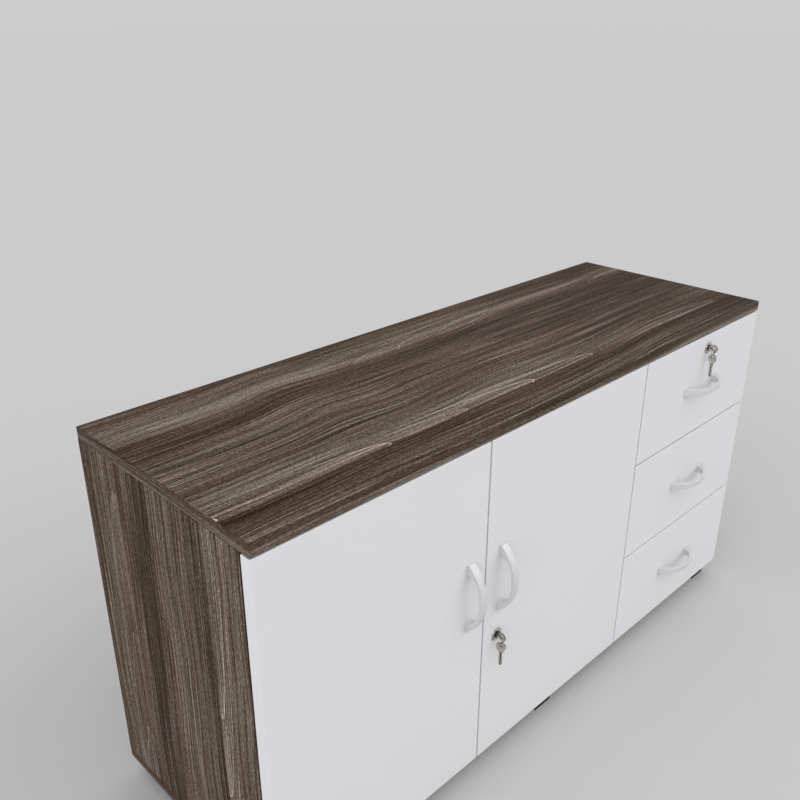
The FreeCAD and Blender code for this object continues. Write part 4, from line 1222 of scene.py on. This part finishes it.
for side, body in locks.items():
    low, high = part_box(f"{side}_lock_barrel")
    centre = np.array(((low.x + high.x) / 2, front_y, (low.z + high.z) / 2))
    barrel_grid = placed(barrel, centre, X_AXIS, Z_AXIS, FORWARD)
    lock_barrel = skinned(f"{side}_threaded_barrel", [(barrel_grid, "ring")], nickel)
    fitted(lock_barrel, body, "lock_chrome", f"{side}_lock_barrel")
    plug_grid = placed(plug, centre, X_AXIS, Z_AXIS, FORWARD)
    lock_plug = skinned(f"{side}_slotted_plug", [plug_grid], plug_black)
    fitted(lock_plug, f"{side}_lock_core", "black_plastic", f"{side}_lock_plug")
    nut_grid = placed(nut, (centre[0], door_back, centre[2]), LEFT, Z_AXIS, Y_AXIS)
    lock_nut = skinned(f"{side}_hexagon_nut", [(nut_grid, "ring")], zinc)
    fitted(lock_nut, body, "zinc_steel", f"{side}_lock_nut")
    cam_low, cam_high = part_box(f"{side}_lock_cam")
    cam_wide = (cam_high.x - cam_low.x) / 2 - LOCK_CAM_HALF
    cam_tall = (cam_high.z - cam_low.z) / 2 - LOCK_CAM_HALF
    cam_edge = [
        (LOCK_CAM_HALF - LOCK_CHAMFER, 0), (LOCK_CAM_HALF, LOCK_CHAMFER),
        (LOCK_CAM_HALF, LOCK_CAM_THICK - LOCK_CHAMFER), (LOCK_CAM_HALF - LOCK_CHAMFER, LOCK_CAM_THICK),
    ]
    cam_centre = ((cam_low.x + cam_high.x) / 2, cam_low.y, (cam_low.z + cam_high.z) / 2)
    cam_bar = carried(cam_edge, (cam_wide, cam_tall), LOCK_CAM_STEPS)
    hub = (centre[0], cam_high.y, centre[2])
    lock_cam_grids = [
        placed(cam_bar, cam_centre, LEFT, Z_AXIS, Y_AXIS),
        placed(bolt_head, hub, LEFT, Z_AXIS, Y_AXIS),
    ]
    lock_cam = skinned(f"{side}_bolted_cam", lock_cam_grids, zinc)
    fitted(lock_cam, f"{side}_lock_core", "zinc_steel", f"{side}_lock_cam")

# Strike
# A bent steel plate under the top board, held by two screws. The drawer lock's cam turns up behind
# its lip and holds the drawer shut.
STRIKE_METAL = 1.5 * MM
STRIKE_SOFT = STRIKE_METAL / 3
STRIKE_BEND = 1.4 * MM
STRIKE_BEND_STEPS = 5
STRIKE_SCREW_ASIDE = 16 * MM
STRIKE_SCREW_DEEP = 20 * MM
strike_low, strike_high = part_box("lock_strike")
strike_middle = (strike_low.x + strike_high.x) / 2
strike_level = strike_high.z - STRIKE_METAL / 2
lip_deep = strike_low.y + STRIKE_METAL / 2
strike_path = np.concatenate([
    [(strike_high.y, strike_level)],
    arc((lip_deep + STRIKE_BEND, strike_level - STRIKE_BEND), STRIKE_BEND, 90, 180, STRIKE_BEND_STEPS),
    [(lip_deep, strike_low.z)],
])
strike = swept(strike_path, (strike_high.x - strike_low.x) / 2, STRIKE_METAL / 2, STRIKE_SOFT)
strike_grids = [placed(strike, (strike_middle, 0, 0), Y_AXIS, Z_AXIS, X_AXIS)]
for way in (-1, 1):
    seat_x = strike_middle + way * STRIKE_SCREW_ASIDE
    seat = (seat_x, strike_low.y + STRIKE_SCREW_DEEP, strike_high.z - STRIKE_METAL)
    strike_grids.append(placed(plate_screw, seat, X_AXIS, FORWARD, DOWN))
strike_plate = skinned("bent_strike", strike_grids, zinc)
fitted(strike_plate, "carcass", "zinc_steel", "lock_strike")

# Keys
# Flat keys stamped from nickel plated brass, with a round bow, a funnel neck, a groove milled along
# the blade and cuts along one edge. One is in each lock, and a spare hangs on a split ring of wire.
KEY_HALF_THICK = 0.9 * MM
KEY_SOFT = 0.35 * MM
KEY_EYE = 2.3 * MM
KEY_EYE_LIFT = 3.6 * MM
NECK_REACH = 4 * MM
NECK_SPREAD = 0.55
NECK_OVERLAP = 0.25
BOW_RIM = 0.28
BOW_RIM_SLOPE = 1.25
BOW_DISH = 0.25 * MM
BLADE_HALF = 3.2 * MM
BLADE_THIN = 0.8 * MM
BLADE_ARRIS = 0.25 * MM
BLADE_POINT = 1.3
BLADE_BLUNT = 0.12
BLADE_TAPER = 1.5
BLADE_GROOVE = 0.5 * MM
GROOVE_HALF = 0.7 * MM
GROOVE_WIDEST = 0.4
GROOVE_DEEPEST = 0.6
GROOVE_SLOPE = 1.4
CUT_PITCH = 4.6 * MM
CUT_FLOOR = 0.3 * MM
CUT_DEEP = 1.8 * MM
CUT_MEAN = 0.6
CUT_SWING = 0.4
CUT_PACE = 2.3
CUT_END = 0.86
BLADE_ROWS = 80
BOW_COLUMNS = 96
# Share of painted shade at the points of half a section, from one edge to the other, darkest on the edges and
# in the blade's groove, where shade falls
BOW_PAINTED_SHADE = (1, 0.9, 0.1, 0.45, 0.2, 0.1, 0.75, 1)
BLADE_PAINTED_SHADE = (0.4, 0.1, 0.1, 1, 1, 0.1, 0.3, 1)
RING_TURNS = 2
RING_STEPS = 160
WIRE_COLUMNS = 12
WIRE_SHARE = 0.9
SPARE_YAW = {"door": 208, "drawer": 180}
KEY_BRASS = (222, 217, 208)
# Dark brown painted into the key's edges and hollows as painted shade
PAINTED_KEY_SHADE = (72, 57, 46)


def key_bow(radius, eye_lift):
    """Bow of a key about its centre, a plate between an eye and an outline, with a dished face.

    The outline's reach is the radius plus a bell curve of the angle off the neck, which points down.
    A point of the section is a share of the way from the eye's edge to the outline, and a height.
    """
    angle = spokes(BOW_COLUMNS)
    way = np.stack([np.cos(angle), np.sin(angle)], axis=-1)
    off_neck = (angle - 1.5 * np.pi + np.pi) % (2 * np.pi) - np.pi
    reach = radius + NECK_REACH * np.exp(-(off_neck / NECK_SPREAD) ** 2)
    inner = way * KEY_EYE + (0, eye_lift)
    outer = way * reach[:, None]
    run = outer - inner
    length = np.linalg.norm(run, axis=1, keepdims=True)
    run = run / length
    rim = BOW_RIM * length
    slope = BOW_RIM_SLOPE * rim
    top = KEY_HALF_THICK
    soft = KEY_SOFT
    flat = top - BOW_DISH
    upper = [(0, 0, top - soft), (0, soft, top), (0, rim, top), (0, slope, flat),
             (1, -slope, flat), (1, -rim, top), (1, -soft, top), (1, 0, top - soft)]
    section = upper + [(end, step, -rise) for end, step, rise in upper[::-1]]
    rows = [np.concatenate([(outer if end else inner) + run * step, np.full((BOW_COLUMNS, 1), rise)], axis=1)
            for end, step, rise in section]
    # Painted shade of each row of the section, the same in every column
    shade_share = np.array(BOW_PAINTED_SHADE + BOW_PAINTED_SHADE[::-1])
    return np.stack(rows), np.repeat(shade_share[:, None], BOW_COLUMNS, axis=1)


def key_blade(start, tip):
    """Blade of a key from start down to its tip, with rows along it and columns round its section.

    Both edges draw in over the last stretch to a blunt point. One edge has cuts: a floor and a triangle
    wave whose depth changes from cut to cut. A groove runs down the middle of both faces.
    """
    along = np.linspace(start, tip, BLADE_ROWS)[:, None]
    left = along - tip
    point = np.clip(left / (BLADE_POINT * BLADE_HALF), BLADE_BLUNT, 1)
    number = np.floor(left / CUT_PITCH)
    depth = CUT_DEEP * (CUT_MEAN + CUT_SWING * np.sin(CUT_PACE * number))
    wave = 1 - np.abs(left / CUT_PITCH % 1 * 2 - 1)
    cutting = (left > 2 * BLADE_HALF) & (left < CUT_END * (start - tip))
    plain = BLADE_HALF * point
    bitten = plain - np.where(cutting, CUT_FLOOR + depth * wave, 0)
    thin = BLADE_THIN * np.clip(BLADE_TAPER * point, 0, 1)
    groove = np.minimum(GROOVE_HALF, GROOVE_WIDEST * bitten)
    slope = GROOVE_SLOPE * groove
    sink = np.minimum(BLADE_GROOVE, GROOVE_DEEPEST * thin)
    arris = BLADE_ARRIS
    upper = [(plain, thin - arris), (plain - arris, thin), (slope, thin), (groove, thin - sink),
             (-groove, thin - sink), (-slope, thin), (arris - bitten, thin), (-bitten, thin - arris)]
    section = upper + [(edge, -rise) for edge, rise in upper[::-1]]
    across = np.concatenate([edge for edge, rise in section], axis=1)
    out = np.concatenate([rise for edge, rise in section], axis=1)
    # Painted shade of each column of the section, the same all down the blade
    shade_share = np.broadcast_to(BLADE_PAINTED_SHADE + BLADE_PAINTED_SHADE[::-1], across.shape)
    return np.stack([across, np.broadcast_to(along, across.shape), out], axis=-1), shade_share


def split_ring(radius, wire):
    """Wire wound twice round: a helix from the ring's lowest point, with its turns side by side.

    The section is a circle, and the place aside grows evenly with the turn.
    """
    turn = np.linspace(0, RING_TURNS * 2 * np.pi, RING_STEPS)[:, None]
    angle = spokes(WIRE_COLUMNS)
    reach = radius + wire * np.cos(angle)
    aside = (turn / (RING_TURNS * 2 * np.pi) - 0.5) * RING_TURNS * 2 * wire + wire * np.sin(angle)
    return np.stack([-reach * np.sin(turn), -reach * np.cos(turn), aside], axis=-1)


def cut_key(name, centre, radius, tip, eye_lift, across, along, out):
    """Key of a bow and a blade at their place, with painted shade that darkens its hollows and edges."""
    bow_grid, bow_shade = key_bow(radius, eye_lift)
    blade_grid, blade_shade = key_blade(-radius - NECK_OVERLAP * NECK_REACH, tip)
    bow_grid = placed(bow_grid, centre, across, along, out)
    blade_grid = placed(blade_grid, centre, across, along, out)
    return skinned(name, [(bow_grid, "ring"), blade_grid], key_nickel, painted_shade=[bow_shade, blade_shade])


key_nickel = fine_material(
    "key_nickel", KEY_BRASS, mottle=0.5, patch=420, grain=2200, level=0.24, swing=0.2, relief=0.00002,
    Metallic=0.9,
)
key_tree = key_nickel.node_tree
key_shader = key_tree.nodes["Principled BSDF"]
# Painted shade: the key's colour is mixed towards dark brown by each point's share, which darkens its edges,
# dish and groove
unshaded_colour = key_shader.inputs["Base Color"].links[0].from_socket
shade_share = shader_node(key_tree, "Attribute", attribute_name="painted_shade").outputs["Fac"]
shaded_colour = shader_node(key_tree, "Mix", {0: shade_share, 6: unshaded_colour, 7: paint(*PAINTED_KEY_SHADE)}, data_type="RGBA").outputs[2]
key_tree.links.new(shaded_colour, key_shader.inputs["Base Color"])
for side in locks:
    low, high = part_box(f"{side}_key")
    radius = (high.z - low.z) / 2
    middle = (low + high) / 2
    centre = (middle.x, low.y + radius, middle.z)
    key = cut_key(f"{side}_cut_key", centre, radius, centre[1] - high.y, 0.0, Z_AXIS, FORWARD, X_AXIS)
    fitted(key, f"{side}_lock_core", "lock_chrome", f"{side}_key")

    low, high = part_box(f"{side}_spare_key")
    radius = (high.y - low.y) / 2
    middle = (low + high) / 2
    centre = (middle.x, middle.y, high.z - radius)
    yaw = math.radians(SPARE_YAW[side])
    across = (math.sin(yaw), -math.cos(yaw), 0)
    out = (math.cos(yaw), math.sin(yaw), 0)
    spare = cut_key(f"{side}_cut_spare", centre, radius, low.z - centre[2], KEY_EYE_LIFT, across, Z_AXIS, out)
    fitted(spare, f"{side}_spare", "lock_chrome", f"{side}_spare_key")

    low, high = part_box(f"{side}_key_ring")
    wire = (high.y - low.y) / 2
    wound = split_ring((high.x - low.x) / 2 - wire, WIRE_SHARE * wire)
    ring = skinned(f"{side}_split_ring", [placed(wound, (low + high) / 2, X_AXIS, Z_AXIS, Y_AXIS)], nickel)
    fitted(ring, f"{side}_spare", "lock_chrome", f"{side}_key_ring")

# Studio
# A plain pale floor under an even sky, with three large soft lamps: one high in front on the right, a
# weaker one in front on the left and a low one from the left side.
FLOOR_GREY = (198, 198, 199)
FLOOR_REACH = 60
FLOOR_ROUGHNESS = 0.9
SKY_LIGHT = 0.825
SKY_SEEN = 0.606
SUN_ANGLE = 50
# Strength of each lamp and the way to it: right, back and up
SUNS = {
    "right_sun": (0.7, (0.45, -0.65, 0.62)),
    "left_sun": (0.4, (-0.75, -0.45, 0.5)),
    "side_sun": (0.75, (-1.0, 0.0, 0.12)),
}
floor_mesh = bpy.data.meshes.new("studio_floor")
corners = np.array([(-1, -1, 0), (1, -1, 0), (1, 1, 0), (-1, 1, 0)]) * FLOOR_REACH
floor_mesh.from_pydata(corners, [], [(0, 1, 2, 3)])
floor = bpy.data.objects.new("studio_floor", floor_mesh)
bpy.context.scene.collection.objects.link(floor)
floor_paint, _, floor_shader = fresh_material("floor_paint")
floor_shader.inputs["Base Color"].default_value = paint(*FLOOR_GREY)
floor_shader.inputs["Roughness"].default_value = FLOOR_ROUGHNESS
floor_shader.inputs["Specular IOR Level"].default_value = 0.0
floor_mesh.materials.append(floor_paint)

scene = bpy.context.scene
world = bpy.data.worlds.new("studio")
scene.world = world
world.use_nodes = True
sky = world.node_tree.nodes["Background"]
sky.inputs["Color"].default_value = (1.0, 1.0, 1.0, 1.0)
rays = shader_node(world.node_tree, "LightPath").outputs
seen = calc(world.node_tree, "MAXIMUM", rays["Is Camera Ray"], rays["Is Transmission Ray"])
strength = calc(world.node_tree, "MULTIPLY_ADD", seen, SKY_SEEN - SKY_LIGHT, SKY_LIGHT)
world.node_tree.links.new(strength, sky.inputs["Strength"])

for name, (light, (right, back, up)) in SUNS.items():
    sun_data = bpy.data.lights.new(name, "SUN")
    sun_data.energy = light
    sun_data.angle = math.radians(SUN_ANGLE)
    sun = bpy.data.objects.new(name, sun_data)
    sun.rotation_euler = (math.atan2(math.hypot(right, back), up), 0, math.atan2(back, right) + math.pi / 2)
    scene.collection.objects.link(sun)

# Camera
# It stands a little over a metre high in front of the left corner, and looks down at the cabinet.
# Its place, turn and lens are fitted to the cabinet's straight edges.
LENS = 38.89
SENSOR = 36
CAMERA_PLACE = (-1.02261, -0.84574, 1.14506)
LOOK_DOWN = 24.31
LOOK_RIGHT = 44.39
camera_data = bpy.data.cameras.new("camera")
camera_data.lens = LENS
camera_data.sensor_width = SENSOR
camera = bpy.data.objects.new("camera", camera_data)
camera.location = CAMERA_PLACE
camera.rotation_euler = (math.radians(90 - LOOK_DOWN), 0, math.radians(-LOOK_RIGHT))
scene.collection.objects.link(camera)
scene.camera = camera
scene.view_settings.view_transform = "Standard"
